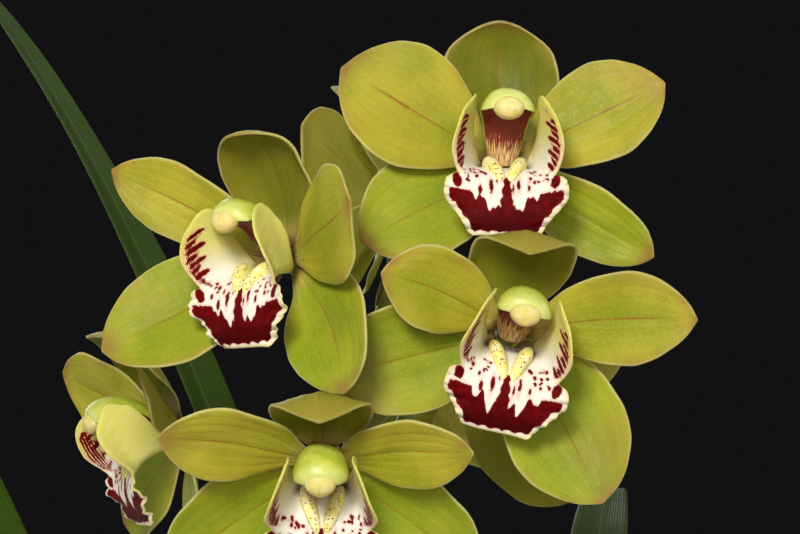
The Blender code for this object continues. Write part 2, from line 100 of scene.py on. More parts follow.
def lifted(out: np.ndarray, lift: np.ndarray) -> tuple[np.ndarray, np.ndarray, np.ndarray]:
    """The three directions of a blade: its level heading by the cosine of its lift, and its sine as Z.

    Args:
        out: Level unit vectors that it heads along.
        lift: Its lift in radians.

    Returns:
        Unit vectors along it, out of its face and to its side.
    """
    along = np.column_stack([np.cos(lift)[:, None] * out, np.sin(lift)])
    face = np.column_stack([-np.sin(lift)[:, None] * out, np.cos(lift)])
    return along, face, np.cross(face, along)


def pitched(slope: np.ndarray) -> tuple[np.ndarray, np.ndarray]:
    """The two directions of a slope out of the flower's face: its sine as Y and its cosine as Z.

    Args:
        slope: Angles in radians.

    Returns:
        Unit vectors along it and square to it.
    """
    level = np.zeros_like(slope)
    along = np.stack([level, np.sin(slope), np.cos(slope)], axis=1)
    return along, np.stack([level, np.cos(slope), -np.sin(slope)], axis=1)


def walk(tangents: np.ndarray, length: float) -> np.ndarray:
    """Points reached from the origin by adding the mean of each two neighbouring tangents."""
    step = (tangents[1:] + tangents[:-1]) / 2 * length / (len(tangents) - 1)
    return np.vstack([np.zeros(3), np.cumsum(step, axis=0)])


def read_at(stations: np.ndarray, values: np.ndarray, where: np.ndarray) -> np.ndarray:
    """Rows of vectors read between their stations, in straight steps."""
    return np.stack([np.interp(where, stations, values[:, k]) for k in range(values.shape[1])], axis=-1)


def both(a: np.ndarray, b: np.ndarray, soft: float) -> np.ndarray:
    """The lesser of two distances, rounded: minus soft times the log of their exponentials' sum."""
    return -soft * np.logaddexp(-a / soft, -b / soft)


def unit(vectors: np.ndarray) -> np.ndarray:
    """Each vector over its own length."""
    return vectors / np.maximum(np.linalg.norm(vectors, axis=-1, keepdims=True), 1e-12)


def normals_of(points: np.ndarray) -> np.ndarray:
    """Unit normals of a grid: the change along its rows crossed with the change along its columns."""
    return unit(np.cross(np.gradient(points, axis=0), np.gradient(points, axis=1)))


@dataclass
class Surface:
    """A closed skin of faces before it becomes a mesh.

    Points are in mm. Corners list the points round each face, counts say how many each face has, spots
    hold a pair of map places for each corner, and fields hold one number for each point.
    """

    points: np.ndarray
    corners: np.ndarray
    counts: np.ndarray
    spots: np.ndarray
    fields: dict[str, np.ndarray]
    finish: np.ndarray = field(default_factory=lambda: np.zeros(0, int))

    def __post_init__(self) -> None:
        """Faces without a finish of their own take the first."""
        if len(self.finish) != len(self.counts):
            self.finish = np.zeros(len(self.counts), int)

    def outward(self) -> "Surface":
        """Turns every face round if the skin holds less than nothing.

        Returns:
            This surface. Its volume is the sum over faces, cut into fans, of a corner's dot product with
            the cross product of the next two, over six.
        """
        starts = np.cumsum(self.counts) - self.counts
        middle = self.points - self.points.mean(axis=0)
        a, b, c = (middle[self.corners[starts + k]] for k in (0, 1, 2))
        volume = np.einsum("ij,ij->", a, np.cross(b, c))
        four = self.counts == 4
        last = middle[self.corners[starts[four] + 3]]
        volume += np.einsum("ij,ij->", a[four], np.cross(c[four], last))
        if volume < 0:
            owner = np.repeat(np.arange(len(self.counts)), self.counts)
            place = np.arange(len(self.corners)) - starts[owner]
            turned = starts[owner] + (self.counts[owner] - 1 - place)
            self.corners, self.spots = self.corners[turned], self.spots[turned]
        return self

    def moved(self, matrix: Matrix) -> "Surface":
        """A copy with its points carried by a matrix given in mm."""
        turn = np.array(matrix)
        return replace(self, points=self.points @ turn[:3, :3].T + turn[:3, 3], fields=dict(self.fields))

    def toned(self, tone: float, finish: int = 0) -> "Surface":
        """Gives the surface one shade and one finish.

        Args:
            tone: A number of its own for its shade.
            finish: Its finish's place in the mesh's list.

        Returns:
            This surface.
        """
        self.fields["tone"] = np.full(len(self.points), tone)
        self.finish = np.full(len(self.counts), finish)
        return self


def joined(parts: list[Surface]) -> Surface:
    """Surfaces put into one, each as a separate skin.

    Args:
        parts: Surfaces that share the names of their fields, or lack some, which then read zero.

    Returns:
        One surface.
    """
    names = sorted({name for part in parts for name in part.fields})
    shift = np.cumsum([0] + [len(p.points) for p in parts[:-1]])
    return Surface(
        np.concatenate([p.points for p in parts]),
        np.concatenate([p.corners + s for p, s in zip(parts, shift)]),
        np.concatenate([p.counts for p in parts]),
        np.concatenate([p.spots for p in parts]),
        {n: np.concatenate([p.fields.get(n, np.zeros(len(p.points))) for p in parts]) for n in names},
        np.concatenate([p.finish for p in parts]),
    )


def cells(rows: int, columns: int, wrap: bool = False) -> tuple[np.ndarray, np.ndarray]:
    """Row and column of the four corners of each cell of a grid.

    Args:
        rows: Points down the grid.
        columns: Points across it.
        wrap: Whether the last column meets the first.

    Returns:
        Two arrays of four numbers a cell. A wrapped cell's far column is the number of columns.
    """
    i, j = np.meshgrid(np.arange(rows - 1), np.arange(columns if wrap else columns - 1), indexing="ij")
    return i.reshape(-1, 1) + np.array([0, 1, 1, 0]), j.reshape(-1, 1) + np.array([0, 0, 1, 1])


def blade(
    middle: np.ndarray, facing: np.ndarray, thick: np.ndarray, spots: np.ndarray,
    fields: dict[str, np.ndarray]
) -> Surface:
    """A thin blade: a middle surface pushed half its thickness both ways along its normals.

    Args:
        middle: Grid of points.
        facing: Grid of unit normals.
        thick: Grid of thicknesses, taken as nothing on the grid's rim.
        spots: Grid of pairs for the map.
        fields: Grids of numbers to carry.

    Returns:
        A surface that closes at its rim, with the field under at 1 on its back.
    """
    rows, columns = middle.shape[:2]
    inner = np.zeros((rows, columns), bool)
    inner[1:-1, 1:-1] = True
    half = np.where(inner, thick, 0)[..., None] * facing / 2
    front = np.arange(rows * columns).reshape(rows, columns)
    back = front.copy()
    back[inner] = rows * columns + np.arange(inner.sum())
    i, j = cells(rows, columns)
    corners = np.concatenate([front[i, j], back[i, j][:, ::-1]])
    pairs = np.concatenate([spots[i, j], spots[i, j][:, ::-1]])
    carried = {k: np.concatenate([v.ravel(), v[inner]]) for k, v in fields.items()}
    carried["under"] = np.concatenate([np.where(inner, 0, .5).ravel(), np.ones(inner.sum())])
    points = np.concatenate([(middle + half).reshape(-1, 3), (middle - half)[inner]])
    return Surface(points, corners.ravel(), np.full(len(corners), 4), pairs.reshape(-1, 2), carried).outward()


def rind(rings: np.ndarray, first: np.ndarray, last: np.ndarray, fields: dict[str, np.ndarray]) -> Surface:
    """A closed skin through rings of points, with a fan to one point at each end.

    Args:
        rings: Grid of points, one ring a row.
        first: The end point before the first ring.
        last: The end point after the last ring.
        fields: Grids of numbers to carry.

    Returns:
        A closed surface. Its map runs round the rings and along them.
    """
    rows, columns = rings.shape[:2]
    i, j = cells(rows, columns, wrap=True)
    around = np.stack([j / columns, i / (rows - 1)], axis=-1)
    quads = i * columns + j % columns
    k = np.arange(columns)
    far = (rows - 1) * columns
    heads = np.stack([k, (k + 1) % columns, np.full(columns, rows * columns)], axis=1)
    tails = np.stack([far + (k + 1) % columns, far + k, np.full(columns, rows * columns + 1)], axis=1)
    head_spots = np.stack([np.stack([k, k + 1, k + .5], 1) / columns, np.zeros((columns, 3))], axis=-1)
    tail_spots = np.stack([np.stack([k + 1, k, k + .5], 1) / columns, np.ones((columns, 3))], axis=-1)
    carried = {n: np.concatenate([v.ravel(), [v[0].mean(), v[-1].mean()]]) for n, v in fields.items()}
    return Surface(
        np.concatenate([rings.reshape(-1, 3), first[None], last[None]]),
        np.concatenate([quads.ravel(), heads.ravel(), tails.ravel()]),
        np.concatenate([np.full(len(quads), 4), np.full(2 * columns, 3)]),
        np.concatenate([around.reshape(-1, 2), head_spots.reshape(-1, 2), tail_spots.reshape(-1, 2)]),
        carried,
    ).outward()


def along_path(points: np.ndarray, rows: int) -> tuple[np.ndarray, np.ndarray, np.ndarray, np.ndarray]:
    """A smooth path through points with a frame carried along it.

    Args:
        points: Points to pass through.
        rows: How many places to work out.

    Returns:
        Shares of the length, places, and two unit vectors across the path: one square to the plane in
        which the path bends, the other square to that and the path.
    """
    reach = lengths(points) / lengths(points)[-1]
    u = np.linspace(0, 1, rows)
    spine = np.stack([curve(np.column_stack([reach, points[:, k]]), u) for k in range(3)], axis=1)
    ahead = unit(np.gradient(spine, axis=0))
    square = np.cross(ahead[0], ahead[-1])
    if np.linalg.norm(square) < .15:
        square = np.cross(ahead[0], (.3, 1, .1))
    side = unit(np.cross(np.cross(ahead, square), ahead))
    return u, spine, side, np.cross(ahead, side)


def stalk(
    points: np.ndarray, radius: Stops, rows: int, sides: int, ribs: float = 0.0, rib_count: int = 6
) -> Surface:
    """A round stalk: circles across a path, with ribs as a cosine of the angle.

    Args:
        points: Points that the path passes through.
        radius: Radius at shares of the length.
        rows: Rings along it.
        sides: Points round it.
        ribs: How far the ribs stand out, as a share of the radius.
        rib_count: How many ribs.

    Returns:
        A closed surface with its share of the length as the field along.
    """
    u, spine, side, other = along_path(points, rows)
    turn = around(sides)
    size = curve(radius, u)[:, None] * (1 + ribs * ease(u, .45, .7)[:, None] * np.cos(rib_count * turn))
    size = size * (1 + .035 * np.sin(23 * u + 2 * np.sin(5 * u))[:, None])
    rings = (
        spine[:, None]
        + side[:, None] * (size * np.cos(turn))[..., None]
        + other[:, None] * (size * np.sin(turn))[..., None]
    )
    along = np.repeat(u[:, None], sides, axis=1)
    return rind(rings, spine[0], spine[-1], {"along": along})


def piece(
    name: str, surface: Surface, finishes: list["Finish"], replaces: tuple[str, ...]
) -> bpy.types.Object:
    """Makes a surface into a piece of the model, in metres, that rides on the root.

    Args:
        name: The piece's name.
        surface: Its skin in mm.
        finishes: Its finishes, in the order that the surface counts them.
        replaces: CAD nodes that it stands for.

    Returns:
        The new object.
    """
    mesh = bpy.data.meshes.new(name)
    mesh.vertices.add(len(surface.points))
    mesh.vertices.foreach_set("co", (surface.points * MM).astype(np.float32).ravel())
    mesh.loops.add(len(surface.corners))
    mesh.loops.foreach_set("vertex_index", surface.corners.astype(np.int32))
    mesh.polygons.add(len(surface.counts))
    mesh.polygons.foreach_set("loop_start", (np.cumsum(surface.counts) - surface.counts).astype(np.int32))
    mesh.polygons.foreach_set("material_index", surface.finish.astype(np.int32))
    mesh.update(calc_edges=True)
    mesh.shade_smooth()
    layer = mesh.uv_layers.new(name="Surface")
    layer.data.foreach_set("uv", surface.spots.astype(np.float32).ravel())
    for key, values in surface.fields.items():
        mesh.attributes.new(key, "FLOAT", "POINT").data.foreach_set("value", values.astype(np.float32))
    for finish in finishes:
        mesh.materials.append(finish.material())
    made = bpy.data.objects.new(name, mesh)
    bpy.context.scene.collection.objects.link(made)
    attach(made, "root")
    if replaces:
        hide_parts(*replaces)
    return made


def shaded(colour: Colour, by: float) -> Colour:
    """A colour times a number, held at one."""
    return tuple(min(1.0, part * by) for part in colour)


class Wiring:
    """A short way to wire a material's nodes, one value or socket into the next."""

    def __init__(self, name: str) -> None:
        """Starts a material with one Principled shader.

        Args:
            name: The material's name.
        """
        self.made = bpy.data.materials.new(name)
        self.made.use_nodes = True
        self.tree = self.made.node_tree
        self.shader = self.tree.nodes["Principled BSDF"]

    def into(self, socket: bpy.types.NodeSocket, value: object) -> None:
        """Links a value into a socket, or sets it there.

        Args:
            socket: The socket to fill.
            value: Another socket, a plain number or a colour.
        """
        if isinstance(value, bpy.types.NodeSocket):
            self.tree.links.new(value, socket)
        elif isinstance(value, tuple) and len(value) == 3 and socket.type == "RGBA":
            socket.default_value = (*value, 1)
        else:
            socket.default_value = value

    def field(self, name: str) -> bpy.types.NodeSocket:
        """A number that the mesh carries.

        Args:
            name: The field's name.

        Returns:
            The number's socket.
        """
        made = self.tree.nodes.new("ShaderNodeAttribute")
        made.attribute_name = name
        return made.outputs["Fac"]

    def place(self) -> bpy.types.NodeSocket:
        """The point in the object's own metres."""
        return self.tree.nodes.new("ShaderNodeTexCoord").outputs["Object"]

    def chart(self, wide: float = 1.0, long: float = 1.0) -> bpy.types.NodeSocket:
        """The surface's own map.

        Args:
            wide: Stretch across the surface.
            long: Stretch along it.

        Returns:
            The place's socket.
        """
        made = self.tree.nodes.new("ShaderNodeMapping")
        self.into(made.inputs["Vector"], self.tree.nodes.new("ShaderNodeTexCoord").outputs["UV"])
        made.inputs["Scale"].default_value = (wide, long, 1)
        return made.outputs["Vector"]

    def stretched(self, x: float, y: float, z: float) -> bpy.types.NodeSocket:
        """The object's own metres, stretched.

        Args:
            x: Stretch along X.
            y: Stretch along Y.
            z: Stretch along Z.

        Returns:
            The place's socket.
        """
        made = self.tree.nodes.new("ShaderNodeMapping")
        self.into(made.inputs["Vector"], self.place())
        made.inputs["Scale"].default_value = (x, y, z)
        return made.outputs["Vector"]

    def math(self, kind: str, a: object, b: object = 0.0, clamp: bool = False) -> bpy.types.NodeSocket:
        """One sum.

        Args:
            kind: The sum's kind, in Blender's words.
            a: First number or socket.
            b: Second number or socket.
            clamp: Whether the result is held between 0 and 1.

        Returns:
            The result's socket.
        """
        made = self.tree.nodes.new("ShaderNodeMath")
        made.operation, made.use_clamp = kind, clamp
        self.into(made.inputs[0], a)
        self.into(made.inputs[1], b)
        return made.outputs[0]

    def times(self, a: object, b: object) -> bpy.types.NodeSocket:
        """The product of two numbers or sockets."""
        return self.math("MULTIPLY", a, b)

    def plus(self, a: object, b: object, clamp: bool = False) -> bpy.types.NodeSocket:
        """The sum of two numbers or sockets."""
        return self.math("ADD", a, b, clamp)

    def span(
        self, value: object, low: float, high: float, start: float = 0.0, end: float = 1.0
    ) -> bpy.types.NodeSocket:
        """Maps a number from one range to another, held at both ends.

        Args:
            value: The number.
            low: Where the first range starts.
            high: Where it ends.
            start: Where the second range starts.
            end: Where it ends.

        Returns:
            The result's socket, eased by 3x squared less 2x cubed.
        """
        made = self.tree.nodes.new("ShaderNodeMapRange")
        made.interpolation_type = "SMOOTHSTEP"
        for index, entry in enumerate((value, low, high, start, end)):
            self.into(made.inputs[index], entry)
        return made.outputs[0]

    def noise(
        self, vector: bpy.types.NodeSocket, scale: float, detail: float = 2.0, rough: float = .5,
        bend: float = 0.0
    ) -> bpy.types.NodeSocket:
        """Soft random noise between 0 and 1.

        Args:
            vector: Where it is read.
            scale: How many patches lie in one unit.
            detail: How many finer layers it has.
            rough: How strong those are.
            bend: How far it is warped.

        Returns:
            The noise's socket.
        """
        made = self.tree.nodes.new("ShaderNodeTexNoise")
        self.into(made.inputs["Vector"], vector)
        for key, value in (("Scale", scale), ("Detail", detail), ("Roughness", rough), ("Distortion", bend)):
            made.inputs[key].default_value = value
        return made.outputs["Fac"]

    def cloud(
        self, scale: float, detail: float, rough: float = .5, bend: float = 0.0
    ) -> bpy.types.NodeSocket:
        """Noise over the object's own metres."""
        return self.noise(self.place(), scale, detail, rough, bend)

    def dots(self, vector: bpy.types.NodeSocket, scale: float) -> bpy.types.NodeSocket:
        """Distance from the nearest of random points.

        Args:
            vector: Where it is read.
            scale: How many points lie along one unit.

        Returns:
            The distance's socket, in the points' own spacing.
        """
        made = self.tree.nodes.new("ShaderNodeTexVoronoi")
        self.into(made.inputs["Vector"], vector)
        made.inputs["Scale"].default_value = scale
        return made.outputs["Distance"]

    def mix(self, share: object, a: object, b: object) -> bpy.types.NodeSocket:
        """Two colours mixed.

        Args:
            share: The second colour's share.
            a: First colour.
            b: Second colour.

        Returns:
            The mixed colour's socket.
        """
        made = self.tree.nodes.new("ShaderNodeMix")
        made.data_type = "RGBA"
        self.into(made.inputs["Factor"], share)
        self.into(made.inputs[6], a)
        self.into(made.inputs[7], b)
        return made.outputs[2]

    def done(
        self, colour: object, rough: object, height: object = None, distance: float = .0002,
        strength: float = 1.0, **constants: float | tuple[float, ...]
    ) -> bpy.types.Material:
        """Closes the material.

        Args:
            colour: Base colour.
            rough: Roughness.
            height: Height for the bump, in 0..1.
            distance: Height of a full bump in metres.
            strength: Share of the bump that shows.
            constants: Other sockets of the shader, by name with _ for a space.

        Returns:
            The material.
        """
        self.into(self.shader.inputs["Base Color"], colour)
        self.into(self.shader.inputs["Roughness"], rough)
        if height is not None:
            bump = self.tree.nodes.new("ShaderNodeBump")
            bump.inputs["Distance"].default_value = distance
            bump.inputs["Strength"].default_value = strength
            self.into(bump.inputs["Height"], height)
            self.into(self.shader.inputs["Normal"], bump.outputs["Normal"])
        for key, value in constants.items():
            self.shader.inputs[key.replace("_", " ")].default_value = value
        return self.made


class Finish:
    """A finish, whose material is made once and then shared."""

    def material(self) -> bpy.types.Material:
        """The finish's material, made at its first use."""
        name = self.label()
        return bpy.data.materials.get(name) or self.wired(Wiring(name))

    def label(self) -> str:
        """The material's name."""
        return type(self).__name__

    def wired(self, w: Wiring) -> bpy.types.Material:
        """Wires the material, in each kind of finish."""
        raise NotImplementedError(w.made.name)


@dataclass(frozen=True)
class TepalFinish(Finish):
    """Waxy yellow-green petal or sepal: fine veins, red-brown midrib, bronze margins with a painted highlight
    on the thin pale rim, and a flushed foot whose very end is darkened by painted shade.
    """

    kind: str
    fresh: Colour
    ripe: Colour
    margin: Colour = (.34, .19, .035)
    rib: Colour = (.27, .075, .012)
    back: Colour = (.30, .270, .026)
    rib_share: float = .5

    def label(self) -> str:
        """The material's name."""
        return f"{self.kind}_skin"

    def wired(self, w: Wiring) -> bpy.types.Material:
        """Wires the skin.

        Args:
            w: The material's wiring.

        Returns:
            The material.
        """
        s, t, rim, under, tone = (w.field(k) for k in ("along", "across", "rim", "under", "tone"))
        cloud = w.cloud(55, 3)
        ripe = w.plus(w.span(cloud, .3, .7), w.times(tone, .35), clamp=True)
        colour = w.mix(ripe, self.fresh, self.ripe)
        colour = w.mix(
            w.times(w.span(rim, 5, 13), w.span(s, .75, .15, .1, .6)), colour,
            tuple(c * f for c, f in zip(self.fresh, (.74, .86, .7)))
        )
        # veins: dark lines where a wave across the blade, bent by a slow cloud, passes its crest
        drift = w.times(w.math("SUBTRACT", w.noise(w.chart(2.2, 1.4), 2.2, 2), .5), .22)
        wave = w.math("SINE", w.times(w.plus(t, drift), 46))
        vein = w.times(w.span(wave, .55, 1), w.span(rim, 0, 4))
        colour = w.mix(w.times(vein, .10), colour, shaded(self.fresh, .6))
        # mottling: small pale cells
        grain = w.cloud(1500, 2, .6)
        colour = w.mix(w.span(grain, .42, .75, 0, .3), colour, shaded(self.ripe, 1.35))
        # margin: bronze band, and a thin pale edge that is a painted highlight on the translucent rim
        fringe = w.times(w.span(rim, 4.0, 0), w.span(w.cloud(70, 3), .38, .72, .04, .55))
        colour = w.mix(fringe, colour, self.margin)
        # painted highlight: the pale thin edge stands in for light caught in the translucent rim
        colour = w.mix(w.span(rim, .9, .15, 0, .55), colour, (.62, .56, .24))
        colour = w.mix(
            w.times(w.span(s, .84, 1), w.span(w.cloud(160, 3), .3, .65, .15, .85)), colour, (.27, .125, .03)
        )
        # rosy cloud over the outer half
        rosy = w.times(w.span(w.cloud(38, 3), .5, .72), w.span(s, .35, .8))
        colour = w.mix(w.times(rosy, .38), colour, (.36, .20, .045))
        # flush and short red streaks at the foot, then painted shade that darkens its very end under the
        # column
        streak = w.span(w.noise(w.chart(34, 3.5), 1, 3, .6), .5, .72)
        foot = w.span(s, .24, .02)
        colour = w.mix(w.times(foot, .45), colour, (.60, .42, .15))
        colour = w.mix(w.times(w.times(streak, foot), .75), colour, self.rib)
        # painted shade: the very foot is darkened to brown where it lies under the column
        colour = w.mix(w.span(s, .10, .03, 0, .8), colour, (.085, .045, .010))
        # midrib: a fine line that fades before the tip
        core = w.span(w.math("ABSOLUTE", w.plus(t, w.times(drift, .12))), .034, .006)
        core = w.times(core, w.span(s, .95, .6, 0, self.rib_share))
        core = w.times(core, w.span(w.noise(w.chart(1, 26), 1, 2), .3, .6, .35, 1))
        colour = w.mix(core, colour, self.rib)
        colour = w.mix(
            w.times(under, .62), colour, w.mix(w.times(vein, .45), self.back, shaded(self.back, .7))
        )
        height = w.plus(w.times(vein, -.14), w.times(grain, .6))
        rough = w.span(w.cloud(400, 2), .3, .7, .44, .60)
        return w.done(
            colour, rough, height, .00016, .8, Specular_IOR_Level=.17, Subsurface_Weight=.12,
            Subsurface_Scale=.0016, Subsurface_Radius=(1.0, .9, .2)
        )


@dataclass(frozen=True)
class LipFinish(Finish):
    """Ivory lip with deep red markings, a yellow-green outside and a red-brown throat deepened by painted
    shade under the column.
    """

    ivory: Colour = (.87, .82, .67)
    butter: Colour = (.80, .62, .20)
    red: Colour = (.090, .0012, .0016)
    outside: Colour = (.78, .72, .15)

    def wired(self, w: Wiring) -> bpy.types.Material:
        """Wires the lip's skin.

        Args:
            w: The material's wiring.

        Returns:
            The material.
        """
        stain, rim, under, green, throat, front = (
            w.field(k) for k in ("stain", "rim", "under", "green", "throat", "front")
        )
        cream = w.mix(w.span(w.cloud(160, 3), .35, .7, 0, .35), self.ivory, (.92, .89, .78))
        cream = w.mix(w.span(rim, 1.6, .1, 0, .7), cream, self.butter)
        cream = w.mix(green, cream, (.72, .67, .14))
        # blush: pink round the marks, with short threads between them
        ragged = w.plus(stain, w.times(w.math("SUBTRACT", w.cloud(900, 3, .6), .5), .95))
        cream = w.mix(w.span(ragged, -.75, 0, 0, .42), cream, (.74, .28, .20))
        deep = w.mix(w.span(w.cloud(420, 3, .6), .3, .75), self.red, (.170, .0025, .003))
        deep = w.mix(w.times(front, .75), deep, (.042, .0008, .0012))
        deep = w.mix(w.span(ragged, .5, 0, 0, .7), deep, (.24, .006, .006))
        colour = w.mix(w.span(ragged, -.07, .1), cream, deep)
        # throat: red-brown stripes, partly the lip's own colour and partly painted shade under the column
        colour = w.mix(
            w.times(throat, w.span(w.noise(w.chart(60, 10), 1, 2), .2, .6, .6, 1)), colour,
            (.085, .016, .004)
        )
        colour = w.mix(
            w.times(under, .9), colour,
            w.mix(w.span(w.noise(w.chart(90, 4), 1, 2), .4, .7, 0, .35), self.outside, (.84, .76, .36))
        )
        velvet = w.cloud(2600, 2, .7)
        height = w.plus(velvet, w.times(w.noise(w.chart(70, 9), 1, 2), .8))
        return w.done(
            colour, w.span(velvet, .3, .7, .38, .6), height, .00014, .9, Specular_IOR_Level=.04,
            Subsurface_Weight=.22, Subsurface_Scale=.0016, Subsurface_Radius=(1.0, .8, .5)
        )


@dataclass(frozen=True)
class KeelFinish(Finish):
    """Butter-yellow ridges with tiny dark red dots."""

    yellow: Colour = (.96, .79, .19)

    def wired(self, w: Wiring) -> bpy.types.Material:
        """Wires the ridges' skin.

        Args:
            w: The material's wiring.

        Returns:
            The material.
        """
        colour = w.mix(w.span(w.cloud(300, 2), .3, .7), self.yellow, (.97, .88, .48))
        spots = w.times(w.span(w.dots(w.place(), 1000), .30, .20), w.span(w.cloud(260, 1), .36, .44))
        colour = w.mix(spots, colour, (.09, .010, .004))
        velvet = w.cloud(3000, 2, .7)
        return w.done(
            colour, w.span(velvet, .3, .7, .42, .6), velvet, .0001, .8, Specular_IOR_Level=.25,
            Subsurface_Weight=.06, Subsurface_Scale=.001
        )


@dataclass(frozen=True)
class ColumnFinish(Finish):
    """Glossy lime column whose hollow underside is streaked red-brown over cream."""

    lime: Colour = (.42, .52, .030)
    lemon: Colour = (.60, .62, .085)

    def wired(self, w: Wiring) -> bpy.types.Material:
        """Wires the column's skin.

        Args:
            w: The material's wiring.

        Returns:
            The material.
        """
        s, belly = w.field("along"), w.field("belly")
        colour = w.mix(w.span(w.cloud(210, 2), .3, .7), self.lime, self.lemon)
        colour = w.mix(w.span(s, .8, 1, 0, .75), colour, (.78, .76, .26))
        threads = w.noise(w.chart(150, 7), 1, 3, .6)
        near = w.span(s, .10, .66)
        cover = w.span(w.plus(threads, w.times(near, .48)), .47, .59)
        inner = w.mix(cover, (.80, .55, .22), w.mix(threads, (.075, .005, .002), (.30, .022, .012)))
        colour = w.mix(w.times(w.span(belly, .25, .6), w.span(s, .97, .88)), colour, inner)
        height = w.plus(w.cloud(1300, 2), w.times(threads, .4))
        return w.done(
            colour, w.span(threads, .3, .7, .26, .42), height, .00012, .8, Specular_IOR_Level=.38,
            Subsurface_Weight=.08, Subsurface_Scale=.0014, Coat_Weight=.06
        )


@dataclass(frozen=True)
class CapFinish(Finish):
    """Cream anther cap, darkened to bronze towards its lower rim as painted shade on its underside."""

    cream: Colour = (.74, .60, .15)

    def wired(self, w: Wiring) -> bpy.types.Material:
        """Wires the cap's skin.

        Args:
            w: The material's wiring.

        Returns:
            The material.
        """
        low = w.field("low")
        colour = w.mix(w.span(w.cloud(420, 3), .3, .7), self.cream, (.80, .69, .28))
        # painted shade: the lower rim is darkened to bronze where the cap's underside turns from the light
        colour = w.mix(w.times(w.span(low, .35, .95), .65), colour, (.60, .36, .09))
        grain = w.cloud(2200, 2)
        return w.done(
            colour, w.span(grain, .3, .7, .48, .62), grain, .00018, .9, Specular_IOR_Level=.3,
            Subsurface_Weight=.08, Subsurface_Scale=.0012
        )


@dataclass(frozen=True)
class StalkFinish(Finish):
    """Olive-green stalk flushed bronze, with pale flecks along it."""

    green: Colour = (.20, .26, .035)
    bronze: Colour = (.26, .13, .035)

    def wired(self, w: Wiring) -> bpy.types.Material:
        """Wires the stalk's skin.

        Args:
            w: The material's wiring.

        Returns:
            The material.
        """
        colour = w.mix(w.span(w.noise(w.stretched(60, 60, 22), 1, 3), .36, .68), self.green, self.bronze)
        fibre = w.noise(w.stretched(900, 900, 70), 1, 3, .6)
        colour = w.mix(w.span(fibre, .5, .75, 0, .4), colour, (.40, .42, .10))
        return w.done(
            colour, w.span(fibre, .3, .7, .36, .5), fibre, .00018, .7, Subsurface_Weight=.06,
            Subsurface_Scale=.0012
        )


@dataclass(frozen=True)
class PaperFinish(Finish):
    """Dry papery sheath: straw with brown fibres and frayed dark rims."""

    kind: str
    straw: Colour
    brown: Colour

    def label(self) -> str:
        """The material's name."""
        return f"{self.kind}_paper"

    def wired(self, w: Wiring) -> bpy.types.Material:
        """Wires the paper's skin.

        Args:
            w: The material's wiring.

        Returns:
            The material.
        """
        fibre = w.noise(w.chart(64, 2.2), 1, 4, .65, .3)
        colour = w.mix(w.span(fibre, .38, .66), self.straw, self.brown)
        colour = w.mix(w.span(w.cloud(90, 3), .42, .62, 0, .6), colour, shaded(self.brown, .5))
        colour = w.mix(w.span(w.field("rim"), 2.0, .1, 0, .6), colour, (.10, .05, .02))
        return w.done(colour, w.span(fibre, .3, .7, .55, .8), fibre, .0004, .9)


@dataclass(frozen=True)
class LeafFinish(Finish):
    """Deep green strap leaf: parallel veins, paler keel, bloom of lighter green and a dry tip."""

    deep: Colour = (.017, .036, .0022)
    fresh: Colour = (.038, .072, .0045)

    def wired(self, w: Wiring) -> bpy.types.Material:
        """Wires the leaf's skin.

        Args:
            w: The material's wiring.

        Returns:
            The material.
        """
        s, t, under, tone = (w.field(k) for k in ("along", "across", "under", "tone"))
        cloud = w.plus(w.span(w.cloud(22, 3), .3, .7, 0, .6), w.times(tone, .4))
        colour = w.mix(cloud, self.deep, self.fresh)
        wave = w.math("SINE", w.times(t, 62))
        vein = w.times(w.span(wave, .1, 1), w.span(w.noise(w.chart(40, 7), 1, 2), .3, .6, .5, 1))
        colour = w.mix(w.times(vein, .3), colour, (.085, .145, .014))
        colour = w.mix(w.span(w.math("ABSOLUTE", t), .07, .02, 0, .5), colour, (.11, .175, .020))
        colour = w.mix(w.span(s, .07, 0, 0, .85), colour, (.24, .26, .075))
        colour = w.mix(w.times(under, .4), colour, (.075, .125, .020))
        tip = w.span(w.plus(s, w.times(w.cloud(130, 2), .02)), .992, 1.004)
        colour = w.mix(tip, colour, (.16, .085, .03))
        height = w.plus(w.times(vein, .7), w.times(w.cloud(900, 2), .3))
        rough = w.span(w.cloud(60, 3), .3, .7, .48, .62)
        return w.done(
            colour, rough, height, .0002, .7, Specular_IOR_Level=.12, Subsurface_Weight=.03,
            Subsurface_Scale=.001
        )


@dataclass(frozen=True)
class BulbFinish(Finish):
    """Plump green pseudobulb, yellowed towards its foot, with fine lines from foot to top."""

    green: Colour = (.11, .19, .028)
    yellow: Colour = (.30, .31, .06)

    def wired(self, w: Wiring) -> bpy.types.Material:
        """Wires the bulb's skin.

        Args:
            w: The material's wiring.

        Returns:
            The material.
        """
        lines = w.noise(w.chart(70, 3), 1, 3, .6)
        colour = w.mix(w.span(w.cloud(45, 3), .35, .7), self.green, self.yellow)
        colour = w.mix(w.span(lines, .5, .7, 0, .5), colour, (.34, .33, .09))
        colour = w.mix(w.span(w.field("along"), .3, 0, 0, .8), colour, (.20, .13, .05))
        return w.done(
            colour, w.span(lines, .3, .7, .35, .5), lines, .0005, .8, Subsurface_Weight=.05,
            Subsurface_Scale=.002
        )


